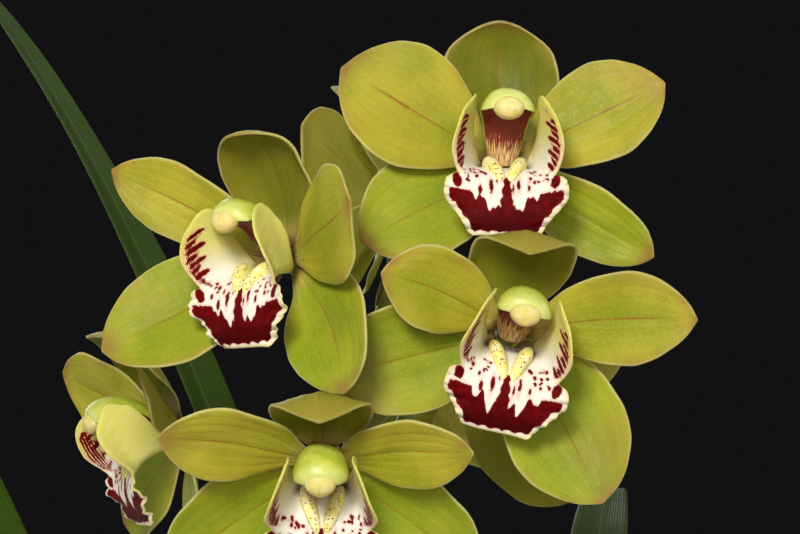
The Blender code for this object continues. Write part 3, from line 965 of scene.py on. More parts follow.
@dataclass(frozen=True)
class ClayFinish(Finish):
    """Fired clay: turning lines, pores, pale lime bloom and a darker damp foot."""

    clay: Colour = (.46, .175, .080)
    pale: Colour = (.60, .33, .20)

    def wired(self, w: Wiring) -> bpy.types.Material:
        """Wires the clay.

        Args:
            w: The material's wiring.

        Returns:
            The material.
        """
        lines = w.noise(w.stretched(3, 3, 620), 1, 3, .6)
        colour = w.mix(w.span(w.cloud(26, 4, .6), .35, .7), self.clay, shaded(self.clay, .8))
        colour = w.mix(w.span(lines, .5, .72, 0, .3), colour, self.pale)
        bloom = w.cloud(14, 5, .68, .6)
        speck = w.span(w.cloud(260, 3, .7), .35, .6, .4, 1)
        colour = w.mix(w.times(w.span(bloom, .53, .70, 0, .75), speck), colour, (.68, .55, .45))
        colour = w.mix(w.field("damp"), colour, (.20, .085, .045))
        pores = w.span(w.dots(w.place(), 520), .0, .35)
        height = w.plus(w.times(lines, .8), w.times(pores, .5))
        return w.done(colour, w.span(bloom, .3, .7, .82, .96), height, .00045, .8, Specular_IOR_Level=.3)


@dataclass(frozen=True)
class BarkFinish(Finish):
    """Pine bark: layered red-brown with dark furrows and greyed faces."""

    brown: Colour = (.105, .048, .024)
    ruddy: Colour = (.215, .105, .052)

    def wired(self, w: Wiring) -> bpy.types.Material:
        """Wires the bark.

        Args:
            w: The material's wiring.

        Returns:
            The material.
        """
        layers = w.noise(w.stretched(260, 260, 700), 1, 4, .65, .8)
        colour = w.mix(
            w.plus(w.times(w.field("tone"), .7), w.span(layers, .3, .7, 0, .3)), self.brown, self.ruddy
        )
        colour = w.mix(w.span(layers, .52, .72, 0, .7), colour, (.035, .018, .010))
        colour = w.mix(w.span(w.cloud(120, 3), .55, .72, 0, .4), colour, (.24, .19, .15))
        return w.done(colour, .9, layers, .0009, .9, Specular_IOR_Level=.25)


@dataclass(frozen=True)
class FloorFinish(Finish):
    """Pale matt studio floor."""

    pale: Colour = (.66, .65, .63)

    def wired(self, w: Wiring) -> bpy.types.Material:
        """Wires the floor.

        Args:
            w: The material's wiring.

        Returns:
            The material.
        """
        cloud = w.cloud(3, 3)
        return w.done(
            w.mix(cloud, self.pale, shaded(self.pale, .96)), w.span(cloud, .3, .7, .62, .7),
            w.cloud(500, 2), .0001, .4
        )


PETAL_SKIN = TepalFinish("petal", (.255, .275, .012), (.43, .375, .030), rib_share=.8)
SEPAL_SKIN = TepalFinish("sepal", (.205, .268, .009), (.335, .355, .018))
# Dorsal sepals take darker copies of the sepal colours: painted shade for their hooded faces, which lean
# forward and down away from the lamps.
SHADED_DORSAL_SKIN = TepalFinish("hood", (.125, .145, .006), (.20, .19, .010))
BULB_PAPER = PaperFinish("bulb", (.40, .30, .155), (.17, .095, .042))
BRACT_PAPER = PaperFinish("bract", (.25, .25, .07), (.19, .12, .045))


class Outline(Enum):
    """Share of the half-width of a petal or a sepal, against the share of its length."""

    PETAL = (
        (0, .15), (.12, .36), (.3, .74), (.5, .97), (.62, 1), (.76, .88), (.88, .6), (.95, .33), (1, .02)
    )
    SEPAL = (
        (0, .17), (.1, .42), (.25, .78), (.42, .97), (.55, 1), (.72, .9), (.86, .64), (.95, .34), (1, .02)
    )


@dataclass(frozen=True)
class Tepal:
    """A petal or sepal: a cupped blade that leaves the flower's axis at an angle and lifts forward."""

    angle: float
    length: float
    width: float
    lift: float
    bend: float
    cup: float
    z: float
    outline: Outline
    sickle: float = 0.0
    power: float = 2.0
    tilt: float = 0.0
    thick: float = 1.0
    root: float = 4.2

    def surface(self, rows: int, columns: int, seed: float) -> Surface:
        """The blade.

        The spine starts at the root and leans by lift plus bend times a power of its share, while its
        heading turns by the sickle. Across it lies an arc that spans the cup. Slow waves, a groove down
        the middle and a rim that rolls back are added along the normal.

        Args:
            rows: Points along it.
            columns: Points across it.
            seed: A number that shifts its waves.

        Returns:
            The closed blade.
        """
        S = np.linspace(0, 1, 161)
        lift = np.radians(self.lift + self.bend * S**self.power)
        head = np.radians(self.angle + self.sickle * S)
        out = np.stack([np.cos(head), np.sin(head)], axis=1)
        along, face, side = lifted(out, lift)
        spine = walk(along, self.length) + np.array([*(out[0] * self.root), self.z])
        tilt = math.radians(self.tilt)
        side, face = (
            side * math.cos(tilt)
            + face * math.sin(tilt), face * math.cos(tilt)
            - side * math.sin(tilt)
        )
        s = np.concatenate([[0, .004], np.linspace(.02, .97, rows - 5), [.985, .994, 1]])
        t = np.sin(np.linspace(-1, 1, columns) * math.pi / 2 * .93) / math.sin(math.pi / 2 * .93)
        s, t = np.meshgrid(s, t, indexing="ij")
        half = self.width / 2
        hoop = math.radians(self.cup) / half
        a = t * curve(self.outline.value, s) * half
        bow = hoop * a
        across, up = np.sin(bow) / hoop, (1 - np.cos(bow)) / hoop
        base, right, out_of = read_at(S, spine, s), read_at(S, side, s), read_at(S, face, s)
        facing = unit(out_of * np.cos(bow)[..., None] - right * np.sin(bow)[..., None])
        rim = np.minimum((1 - np.abs(t)) * curve(self.outline.value, s) * half, (1 - s) * self.length)
        inside = ease(s, .0, .12) * ease(s, 1, .8)
        waves = (
            .45 * np.sin(5.1 * s + 2.1 * t + seed) * np.abs(t) ** 1.5
            + .5 * np.abs(t) ** 5 * np.sin(15 * s + 3 * np.sign(t) + 2 * seed)
        )
        waves += .28 * np.sin(8.3 * s - 4 * t + 3 * seed) * (1 - t * t)
        waves -= .5 * np.exp(-((a / 1.3) ** 2)) * ease(s, 1, .55) + .7 * np.abs(t) ** 9
        flutes = .07 * np.cos(23 * t + seed) * (1 - t**4)
        place = (
            base
            + right * across[..., None]
            + out_of * up[..., None]
            + facing * (inside * (waves + flutes))[..., None]
        )
        skin = normals_of(place)
        skin = skin * np.sign(np.sum(skin * facing, axis=-1, keepdims=True) + 1e-9)
        thick = (
            self.thick
            * np.sqrt(np.clip(1 - (1 - np.clip(rim / .9, 0, 1)) ** 2, 0, 1))
            * (1 + .8 * np.exp(-((a / 2.2) ** 2)) * ease(s, .9, .1))
        )
        spots = np.stack([.5 + a / 60, s * self.length / 60], axis=-1)
        return blade(place, skin, thick, spots, {"along": s, "across": t, "rim": rim})


PETAL_BASE = Tepal(150, 54, 31, 26, -6, 24, 1.2, Outline.PETAL)
SEPAL_BASE = Tepal(212, 52, 34, 14, 2, 28, -1.2, Outline.SEPAL)
DORSAL_BASE = replace(SEPAL_BASE, angle=90, length=47, width=37, lift=10, bend=95, power=2.2, cup=45)


@dataclass(frozen=True)
class Lip:
    """Three-lobed lip: two side lobes that stand beside the column, and a bent-down ruffled middle lobe.

    Half-width, the wall's angle, the flat middle and the width of the bend are given against the length in
    mm. A streak has its place across and along, its half-width and its half-length.
    """

    length: float = 37.0
    half: Stops = (
        (0, 5), (2.5, 10), (5, 19), (8, 28), (11, 32), (13.5, 30.5), (16, 24), (17.6, 17.5), (18.8, 15.4),
        (21, 18.4), (24.5, 18.6), (28, 16.6), (31, 14.0), (33.5, 12.4), (35.2, 11.4), (36.4, 10.4), (37, 9.2),
    )
    wall: Stops = (
        (0, 60), (4, 78), (9, 88), (14, 80), (18, 55), (21, 26), (25, 6), (30, -8), (37, -18)
    )
    flat: Stops = ((0, 2.5), (6, 5.5), (13, 7), (19, 6), (37, 4))
    bend: Stops = ((0, 4), (8, 6), (13, 8), (19, 12), (37, 14))
    floor: tuple[float, float] = (-8, -112)
    turn: tuple[float, float] = (5, 33)
    foot: tuple[float, float] = (-4, 3)
    thick: float = .9
    scallop: float = 1.3
    streaks: tuple[tuple[float, float, float, float], ...] = (
        (-4.3, 22.0, .62, 2.3), (3.8, 21.3, .52, 2.2), (6.9, 22.4, .45, 1.0),
        (-7.6, 23.4, .6, 1.5), (2.2, 23.0, .3, 1.5), (-2.6, 20.3, .3, .6),
    )
    dots: int = 30
    blot_at: tuple[float, float] = (14.9, 20.9)
    blot_half: tuple[float, float] = (1.55, 1.95)

    def points(self, l: np.ndarray, v: np.ndarray, seed: float = 0.0) -> np.ndarray:
        """Places on the lip.

        The floor's slope eases from one angle to the other. Across it the surface stays flat near the
        middle, then turns up by the wall's angle, so that place is the sum of the cosine and sine of
        that angle over the width. Ruffles are sines along the rim of the middle lobe.

        Args:
            l: Millimetres along the floor.
            v: Share of the half-width, below 0 on the left.
            seed: A number that shifts the ruffles.

        Returns:
            Points in the flower's frame.
        """
        L = np.linspace(0, self.length, 161)
        slope = np.radians(self.floor[0] + (self.floor[1] - self.floor[0]) * ease(L, *self.turn))
        along, face = pitched(slope)
        floor = walk(along, self.length) + np.array([0, *self.foot])
        a = v * curve(self.half, l)
        width = np.abs(a)[..., None] * (np.arange(24) + .5) / 24
        wall = (
            np.radians(curve(self.wall, l))[..., None]
            * ease((width - curve(self.flat, l)[..., None]) / curve(self.bend, l)[..., None], 0, 1)
        )
        lobe = np.clip((20 - l) / 4, 0, 1)
        wall = wall + math.radians(18) * np.clip((width - 16) / 14, 0, 1) ** 1.5 * lobe[..., None]
        side, up = np.cos(wall).mean(axis=-1) * a, np.sin(wall).mean(axis=-1) * np.abs(a)
        front = np.clip((l - 18) / 5, 0, 1)
        ruffle = front * np.abs(v) ** 3 * np.sin(.85 * l + .8 * np.sign(v))
        ruffle += (
            front
            * (
                .55 * np.abs(v) ** 5 * np.sin(2.1 * l + 1.6 * np.sign(v) + seed)
                + .22 * np.abs(v) ** 8 * np.sin(4.7 * l + 2 * seed)
            )
        )
        ruffle += .35 * (1 - front) * np.abs(v) ** 4 * np.sin(1.5 * l + 2 * np.sign(v) + seed)
        ahead = 5 * np.clip((np.abs(a) - 8) / 20, 0, 1) * lobe
        out = (
            read_at(L, floor, l)
            + read_at(L, face, l) * (up + ruffle)[..., None]
            + read_at(L, along, l) * ahead[..., None]
        )
        out[..., 0] += side
        return out

    def rim_gap(self, a: np.ndarray, l: np.ndarray, start: float, end: float) -> np.ndarray:
        """Least distance on the flat lip from each place to its outline, on its own side.

        Args:
            a: Millimetres across the flat lip.
            l: Millimetres along it.
            start: Length where the outline starts to count.
            end: Length where it stops.

        Returns:
            The distance in mm, or what is left of the length where that is less.
        """
        l_rim = np.linspace(start, end, 120)
        half = curve(self.half, l_rim)
        near = np.min(np.hypot(np.abs(a).ravel()[:, None] - half, l.ravel()[:, None] - l_rim), axis=1)
        return np.minimum(near.reshape(a.shape), self.length - l)

    def stain(self, a: np.ndarray, l: np.ndarray, seed: int) -> np.ndarray:
        """Distance into the red marks, in mm, below 0 outside them.

        The marks are the union of a band inside the middle lobe's rim, whose inner edge is scalloped by
        cosines, a tongue down the middle, short streaks, a blot on each shoulder, bars across the front
        of the side lobes and small dots.

        Args:
            a: Millimetres across the flat lip.
            l: Millimetres along it.
            seed: Seeds the dots and the scallops.

        Returns:
            The distance.
        """
        rng = np.random.default_rng(seed)
        shift = rng.uniform(-.6, .6, 6)
        wide = np.abs(a)
        gap = self.rim_gap(a, l, 18.2, 37)
        inner = (
            30.0
            - 6.4 * (wide / 10) ** 1.5
            + self.scallop * np.cos(1.35 * a + 2 * shift[0])
            + .55 * np.cos(3.1 * a + 5 * shift[1])
        )
        band = both(gap - 1.5 - .3 * np.cos(1.7 * a + shift[2]), (l - inner) * .8, .25)
        band = both(band, (l - 23.4 + .10 * (wide - 15)) * .8, .5)
        tongue = both(
            .8 + .13 * (l - 19) + .2 * np.sin(1.9 * l + seed) - np.abs(a - .5 * shift[3]), (l - 18.8) * .7,
            .3
        )
        marks = np.maximum(band, both(tongue, gap - 1.5, .3))
        for x, y, thin, tall in self.streaks:
            marks = np.maximum(marks, thin * (1 - np.hypot((a - x - shift[4] * .5) / thin, (l - y) / tall)))
        (x, y), (thin, tall) = self.blot_at, self.blot_half
        blot = 1 - np.hypot((wide - x + .25 * (l - 21)) / thin, (l - y) / tall)
        marks = np.maximum(marks, 1.5 * blot)
        side_gap = self.rim_gap(a, l, 11.5, 18.2)
        climb = wide - .4 * l
        beat = np.sin(climb * 3.2 + .5 * np.sin(wide * .9 + 2 * np.sign(a) + seed))
        bars = .46 * (beat + .62)
        reach = 3.4 + .9 * np.sin(climb * 1.6 + 2 * shift[0] + np.sign(a)) - 1.0 * ease(wide, 24, 29)
        bars = both(bars, 17.3 - l, .1)
        bars = both(both(bars, side_gap - .65, .12), reach - side_gap, .25)
        marks = np.maximum(marks, both(bars, np.minimum(wide - 12.5, 28.5 - wide), .2))
        for _ in range(self.dots):
            x, y = rng.uniform(5.2, 12.8) * rng.choice((-1, 1)), rng.uniform(14.8, 21.2)
            thin, long = rng.uniform(.28, .6), rng.uniform(.7, 1.6)
            marks = np.maximum(marks, thin - np.hypot(a - x, (l - y) / long))
        return marks

    def surface(self, rows: int, columns: int, seed: int) -> Surface:
        """The lip's blade with its marks.

        Args:
            rows: Points along it.
            columns: Points across it.
            seed: Seeds the marks and ruffles.

        Returns:
            The closed blade.
        """
        u = np.linspace(0, 1, rows)
        v = np.sin(np.linspace(-1, 1, columns) * math.pi / 2 * .8) / math.sin(math.pi / 2 * .8)
        l, v = np.meshgrid(self.length * u, v, indexing="ij")
        a = v * curve(self.half, l)
        place = self.points(l, v, seed * 1.7)
        rim = np.minimum(self.rim_gap(a, l, 0, 37), l + .6)
        thick = self.thick * np.clip(rim / .8, 0, 1) ** .5
        fields = {
            "stain": self.stain(a, l, seed),
            "rim": rim,
            "green": .95 * ease(np.abs(a) - .9 * l, 0, 14) * ease(l, 18, 15),
            # the throat's mask carries both its red-brown colour and painted shade under the column
            "throat": .9 * ease(l, 9.5, 4.5) * ease(np.abs(a), 11, 7),
            "front": ease(l, 27, 35),
        }
        return blade(place, normals_of(place), thick, np.stack([.5 + a / 70, l / 70], axis=-1), fields)

    def keels(self, seed: int) -> Surface:
        """The two ridges on the lip's floor.

        Each is a rind whose rings are half-ellipses that stand on the lip: across by a cosine, up by a
        sine along the lip's normal, with width and height as curves of the length.

        Args:
            seed: The lip's own seed.

        Returns:
            Both ridges in one surface.
        """
        made = []
        for hand in (-1, 1):
            l, phi = np.meshgrid(np.linspace(4.1, 20.6, 48), around(28), indexing="ij")
            mid = hand * curve(((4, 5.4), (12, 3.7), (18, 1.9), (20.7, 1.25)), l)
            wide = curve(((4, .3), (6.5, 1.6), (11, 2.35), (16, 2.1), (19, 1.35), (20.7, .25)), l)
            tall = curve(((4, .3), (6.5, 3.0), (11, 3.9), (16, 3.0), (19, 1.5), (20.7, .15)), l)
            a = mid + wide * np.cos(phi)
            half = curve(self.half, l)
            base = self.points(l, a / half, seed * 1.7)
            centre = self.points(l, mid / half, seed * 1.7)
            step = self.points(l + .2, mid / half, seed * 1.7) - centre
            across = self.points(l, (mid + .3) / half, seed * 1.7) - centre
            up = unit(np.cross(step, across))
            lean = (
                across
                / np.linalg.norm(across, axis=-1, keepdims=True)
                * (hand * .5 * tall * np.clip(np.sin(phi), 0, 1))[..., None]
            )
            rise = np.where(np.sin(phi) > 0, tall * np.clip(np.sin(phi), 0, 1) ** .8, .5 * np.sin(phi))
            rings = base + up * rise[..., None] + lean * .4
            made.append(rind(rings, rings[0].mean(axis=0), rings[-1].mean(axis=0), {"along": (l - 5) / 15}))
        return joined(made)


@dataclass(frozen=True)
class Column:
    """Arched column: a half-round rod, hollow below, that widens into a hood with the anther cap."""

    length: float = 31.0
    foot: float = 2.7
    slope: Stops = ((0, 48), (.35, 34), (.7, 4), (1, -42))
    half: Stops = ((0, 4.2), (.2, 5.6), (.5, 7.1), (.75, 8.2), (.88, 7.8), (.96, 5.4), (1, .4))
    top: Stops = ((0, 3.4), (.3, 3.8), (.6, 5.0), (.8, 5.2), (.92, 4.0), (1, .3))
    under: Stops = ((0, 3.2), (.3, 1.2), (.5, -.6), (.75, -2.2), (.9, -2.0), (1, -.1))
    cap: tuple[float, float, float] = (4.6, 3.4, 3.5)

    def spine(self, c: np.ndarray) -> tuple[np.ndarray, np.ndarray, np.ndarray]:
        """The rod's middle line, stepped along a slope that is read from its curve.

        Args:
            c: Shares of the length.

        Returns:
            Places, headings and upward normals.
        """
        C = np.linspace(0, 1, 121)
        slope = np.radians(curve(self.slope, C))
        along, face = pitched(slope)
        middle = walk(along, self.length) + np.array([0, 0, self.foot])
        return read_at(C, middle, c), read_at(C, along, c), read_at(C, face, c)

    def surface(self, rows: int, sides: int) -> Surface:
        """The rod.

        A ring is a half-ellipse over the spine, and below it a hollow that dips by a power of the
        cosine, so that its two sides hang lower than its middle.

        Args:
            rows: Rings along it.
            sides: Points round it.

        Returns:
            The closed rod, with the field belly at 1 on its underside.
        """
        c = np.concatenate([np.linspace(0, .9, rows - 8), np.linspace(.915, 1, 8)])
        c, turn = np.meshgrid(c, around(sides), indexing="ij")
        cos, sin = np.cos(turn), np.sin(turn)
        place, _, face = self.spine(c)
        under = curve(self.under, c)
        height = (
            np.where(sin > 0, curve(self.top, c) * sin, under * sin)
            - np.abs(cos) ** 3 * np.maximum(-under, 0) * .9
        )
        height += .18 * np.cos(3 * turn) * ease(c, .3, .6) * ease(c, .95, .8) * (sin > 0)
        rings = place + face * height[..., None]
        rings[..., 0] += curve(self.half, c) * cos
        ends = rings[0].mean(axis=0), rings[-1].mean(axis=0)
        return rind(rings, *ends, {"along": c, "belly": np.clip(-sin * 1.4, 0, 1)})

    def cap_surface(self) -> Surface:
        """The anther cap: a ball with a groove down its front and a beak below, set in the hood's end.

        Returns:
            The closed cap, with the field low at 1 at its lower rim, where its painted shade is darkest.
        """
        place, along, face = (k[0] for k in self.spine(np.array([.93])))
        lat, turn = np.meshgrid(np.linspace(.06, math.pi - .06, 34), around(48), indexing="ij")
        x = self.cap[0] * np.sin(lat) * np.cos(turn)
        ahead = self.cap[1] * np.sin(lat) * np.sin(turn)
        up = self.cap[2] * np.cos(lat)
        groove = .32 * np.exp(-((x / .55) ** 2)) * ease(ahead, 0, 2) * ease(up, -3, 0)
        ahead = (
            ahead
            - groove
            + .55 * np.exp(-((up + 2.0) ** 2) / 1.6) * np.exp(-((x / 2.2) ** 2)) * (ahead > 0)
        )
        centre = place + along * .9 - face * .5
        rings = (
            centre
            + np.stack([x, 0 * x, 0 * x], axis=-1)
            + along * ahead[..., None]
            + face * up[..., None]
        )
        poles = centre + face * self.cap[2], centre - face * self.cap[2]
        return rind(rings, *poles, {"low": np.clip(.5 - up / self.cap[2] / 1.6, 0, 1)})


@dataclass(frozen=True)
class Flower:
    """One flower.

    It has its place and its three turns in degrees, its node on the spike in mm over the bark, its changes
    to the plain blades, whether its blades are pieces of their own, and how deep its lip's band is scalloped.
    """

    at: tuple[float, float, float]
    turn: float
    nod: float
    roll: float
    node: tuple[float, float, float]
    changes: dict[str, dict[str, float]] = field(default_factory=dict)
    whole: bool = False
    scallop: float = 1.3

    def stand(self) -> Matrix:
        """Turns the flower by its roll, nod and turn, and moves it to its place over the bark.

        Returns:
            The matrix, in mm, from the flower's frame to the model's.
        """
        return (
            Matrix.Translation(Vector(self.at) + Vector((0, 0, BARK_TOP)))
            @ Matrix.Rotation(math.radians(self.turn), 4, "Z")
            @ Matrix.Rotation(math.radians(90 + self.nod), 4, "X")
            @ Matrix.Rotation(math.radians(self.roll), 4, "Z")
        )

    def tepals(self) -> dict[str, Tepal]:
        """The plain blades with this flower's changes.

        Returns:
            The five blades by name.
        """
        plain = {
            "dorsal_sepal": DORSAL_BASE,
            "left_petal": PETAL_BASE,
            "right_petal": replace(PETAL_BASE, angle=30),
            "left_sepal": SEPAL_BASE,
            "right_sepal": replace(SEPAL_BASE, angle=-32),
        }
        return {name: replace(shape, **self.changes.get(name, {})) for name, shape in plain.items()}

    def stalk(self) -> Surface:
        """The flower's own stalk and ribbed ovary, on a cubic curve from the spike to the flower's back.

        Returns:
            The closed stalk.
        """
        stand = self.stand()
        end = np.array(stand @ Vector((0, 0, -2.6)))
        back = np.array(stand.to_3x3() @ Vector((0, 0, -1)))
        start = np.array(self.node, float) + (0, 0, BARK_TOP)
        reach = np.linalg.norm(end - start)
        b, c = start + ((end - start) / reach + (0, 0, .5)) * reach * .3, end + back * reach * .42
        t = np.linspace(0, 1, 9)[:, None]
        points = (1 - t) ** 3 * start + 3 * (1 - t) ** 2 * t * b + 3 * (1 - t) * t**2 * c + t**3 * end
        return stalk(
            points, ((0, 2.5), (.15, 2.1), (.5, 2.1), (.64, 2.7), (.8, 3.5), (.93, 3.5), (1, 3.9)), 60, 30,
            .08
        )

    def build(self, number: int) -> int:
        """Builds every piece of the flower.

        Args:
            number: The flower's number.

        Returns:
            How many pieces were made.
        """
        stand, name = self.stand(), f"flower_{number}"
        rng = np.random.default_rng(400 + number)
        rows, columns = (72, 49) if self.whole else (50, 33)
        perianth = []
        for part, shape in self.tepals().items():
            petal = "petal" in part
            # kind 2 is the dorsal sepal, whose skin is the darker copy that holds painted shade
            kind = 0 if petal else 2 if "dorsal" in part else 1
            skin = shape.surface(rows, columns, rng.uniform(0, 6)).moved(stand).toned(rng.uniform(0, 1), kind)
            if self.whole:
                skin.finish[:] = 0
                piece(
                    f"{name}_{part}_blade", skin, [(PETAL_SKIN, SEPAL_SKIN, SHADED_DORSAL_SKIN)[kind]],
                    (f"{name}_{part}",)
                )
            else:
                perianth.append(skin)
        rod = Column().surface(*((72, 72) if self.whole else (44, 44))).moved(stand).toned(.5)
        if self.whole:
            piece(f"{name}_column_rod", rod, [ColumnFinish()], (f"{name}_column",))
        else:
            perianth.append(rod.toned(.5, 3))
            piece(
                f"{name}_perianth_blades", joined(perianth),
                [PETAL_SKIN, SEPAL_SKIN, SHADED_DORSAL_SKIN, ColumnFinish()], (f"{name}_perianth",)
            )
        piece(f"{name}_anther_cap", Column().cap_surface().moved(stand), [CapFinish()], ())
        lip = Lip(scallop=self.scallop).surface(*((140, 191) if self.whole else (80, 101)), number).moved(
            stand
        )
        piece(f"{name}_lip_blade", lip, [LipFinish()], (f"{name}_lip",))
        piece(f"{name}_lip_keels", Lip().keels(number).moved(stand), [KeelFinish()], ())
        return 4 + (5 if self.whole else 0)


FLOWERS = (
    Flower(
        (31, 12, 503), 2, -16, -2, (0, 56, 474),
        {
            "dorsal_sepal": dict(angle=93, length=44, width=39, lift=-2, bend=85, power=3),
            "left_petal": dict(angle=154, sickle=0, length=53, lift=16, width=39),
            "right_petal": dict(angle=27, sickle=-2, length=51, lift=16, width=31),
            "left_sepal": dict(angle=213, sickle=-2, length=46, lift=5),
            "right_sepal": dict(angle=-31, length=50, lift=2, bend=4, tilt=28, width=22, z=-2)
        },
        whole=True
    ),
    Flower(
        (33, 0, 452), 3, 4, -12, (-15, 60, 412),
        {
            "dorsal_sepal": dict(angle=96, length=49, width=33, lift=15, bend=138, cup=30),
            "left_petal": dict(angle=154, sickle=26, length=43, width=26, lift=22),
            "right_petal": dict(angle=27, sickle=-18, width=28),
            "left_sepal": dict(angle=203, sickle=6, lift=4, width=35),
            "right_sepal": dict(angle=-46, sickle=-8, length=54, width=38)
        },
        whole=True, scallop=2.4
    ),
    Flower(
        (-34.5, 8, 474), -38, -6, 4, (-11, 60, 437),
        {
            "dorsal_sepal": dict(angle=88, sickle=6, length=48, lift=8, bend=112, width=36),
            "left_petal": dict(angle=146, sickle=7, length=58, lift=29, width=23, z=.7),
            "right_petal": dict(angle=14, length=48, lift=29, bend=0, cup=-10, width=36),
            "left_sepal": dict(angle=207, sickle=4, length=60, lift=28, width=34),
            "right_sepal": dict(angle=-37, sickle=-36, length=51, lift=12, width=33)
        },
        whole=True
    ),
    Flower(
        (-23, -2, 413), 0, 24, 0, (-16, 60, 377),
        {
            "dorsal_sepal": dict(length=47, width=32, lift=16, bend=118, cup=30),
            "left_petal": dict(angle=147, sickle=20, length=52, width=25),
            "right_petal": dict(angle=28, sickle=-22, length=47, width=24), "left_sepal": dict(angle=212),
            "right_sepal": dict(angle=-32)
        },
        whole=True
    ),
    Flower((-74, 90, 417), -68, 10, 5, (-13, 57, 357)), Flower((-3, 86, 492), -100, -8, -6, (-2, 57, 464)),
    Flower((36, 52, 360), 28, 24, -5, (-9, 53, 318)), Flower((20, 90, 435), 158, 6, 14, (-17, 60, 390)),
)


@dataclass(frozen=True)
class Spike:
    """The flower spike: the rachis, each flower's stalk, a bract under each and papery sheaths lower down."""

    knots: tuple[tuple[float, float, float, float], ...] = (
        (4, 10, 2, 5.5), (8, 15, 52, 5.4), (10, 26, 132, 5.0), (5, 40, 232, 4.6), (-10, 54, 322, 4.2),
        (-17, 60, 392, 3.8), (-7, 59, 450, 3.2), (10, 52, 492, 2.6), (20, 46, 516, 1.6),
    )
    sheaths: Stops = ((.02, 62), (.13, 66), (.26, 62), (.38, 56), (.49, 46))

    def line(self) -> tuple[np.ndarray, float, Stops]:
        """The rachis as its knots give it.

        Returns:
            Its points in the model's frame, its length in mm, and its radius at shares of that length.
        """
        knots = np.array(self.knots)
        points = knots[:, :3] + (0, 0, BARK_TOP)
        reach = lengths(points)
        return points, reach[-1], tuple(zip(reach / reach[-1], knots[:, 3]))

    def rachis(self) -> Surface:
        """The main stalk, ribbed, through its knots.

        Returns:
            The closed stalk.
        """
        points, _, radius = self.line()
        return stalk(points, radius, 240, 36, .03, 9)

    def wrap(self, start: float, tall: float, turn: float, open_to: float, loose: float) -> Surface:
        """A scale wrapped round the rachis.

        At each share of its height it covers an arc that narrows by a power to its pointed top, on a
        circle a little outside the stalk that loosens towards that top.

        Args:
            start: Share of the rachis where it starts.
            tall: Its height in mm.
            turn: Azimuth of its middle in degrees.
            open_to: Half of the arc it covers at its foot, in degrees.
            loose: How far its top stands off, in mm.

        Returns:
            The closed scale.
        """
        points, reach, radius = self.line()
        u, spine, side, other = along_path(points, 300)
        s, t = np.meshgrid(np.linspace(0, 1, 30), np.linspace(-1, 1, 33), indexing="ij")
        share = start + s * tall / reach
        middle, right, left = read_at(u, spine, share), read_at(u, side, share), read_at(u, other, share)
        stem = curve(radius, share)
        arc = np.radians(turn + open_to * t * np.maximum(1 - s**2.2, .03))
        radius = stem + .75 + loose * s**2 + .25 * np.sin(6 * t + 5 * s)
        place = middle + right * (radius * np.cos(arc))[..., None] + left * (radius * np.sin(arc))[..., None]
        rim = np.minimum(
            (1 - np.abs(t)) * radius * np.radians(open_to) * np.maximum(1 - s**2.2, .03), (1 - s) * tall
        )
        fields = {"along": s, "across": t, "rim": rim}
        return blade(
            place, normals_of(place), np.full_like(s, .5), np.stack([.5 + t / 2, s * tall / 60], axis=-1),
            fields
        )

    def build(self) -> int:
        """Builds the spike with its bracts.

        Returns:
            How many pieces were made.
        """
        parts = [self.rachis()] + [flower.stalk() for flower in FLOWERS]
        piece("flower_spike_stalks", joined(parts), [StalkFinish()], ("flower_spike",))
        scales = [
            self.wrap(start, tall, 70 + 180 * k, 165, 2.5) for k, (start, tall) in enumerate(self.sheaths)
        ]
        knots = np.array(self.knots)
        heights = lengths(knots[:, :3])
        _, _, side, other = along_path(knots[:, :3], 40)
        for flower in FLOWERS:
            share = np.interp(flower.node[2], knots[:, 2], heights / heights[-1]) - .012
            aim = math.degrees(math.atan2(flower.at[1] - flower.node[1], flower.at[0] - flower.node[0]))
            way = np.array([math.cos(math.radians(aim)), math.sin(math.radians(aim)), 0])
            turn = math.degrees(math.atan2(float(other[20] @ way), float(side[20] @ way)))
            scales.append(self.wrap(share, 13, turn, 75, 3.2))
        piece("flower_spike_bracts", joined(scales), [BRACT_PAPER], ())
        return 2


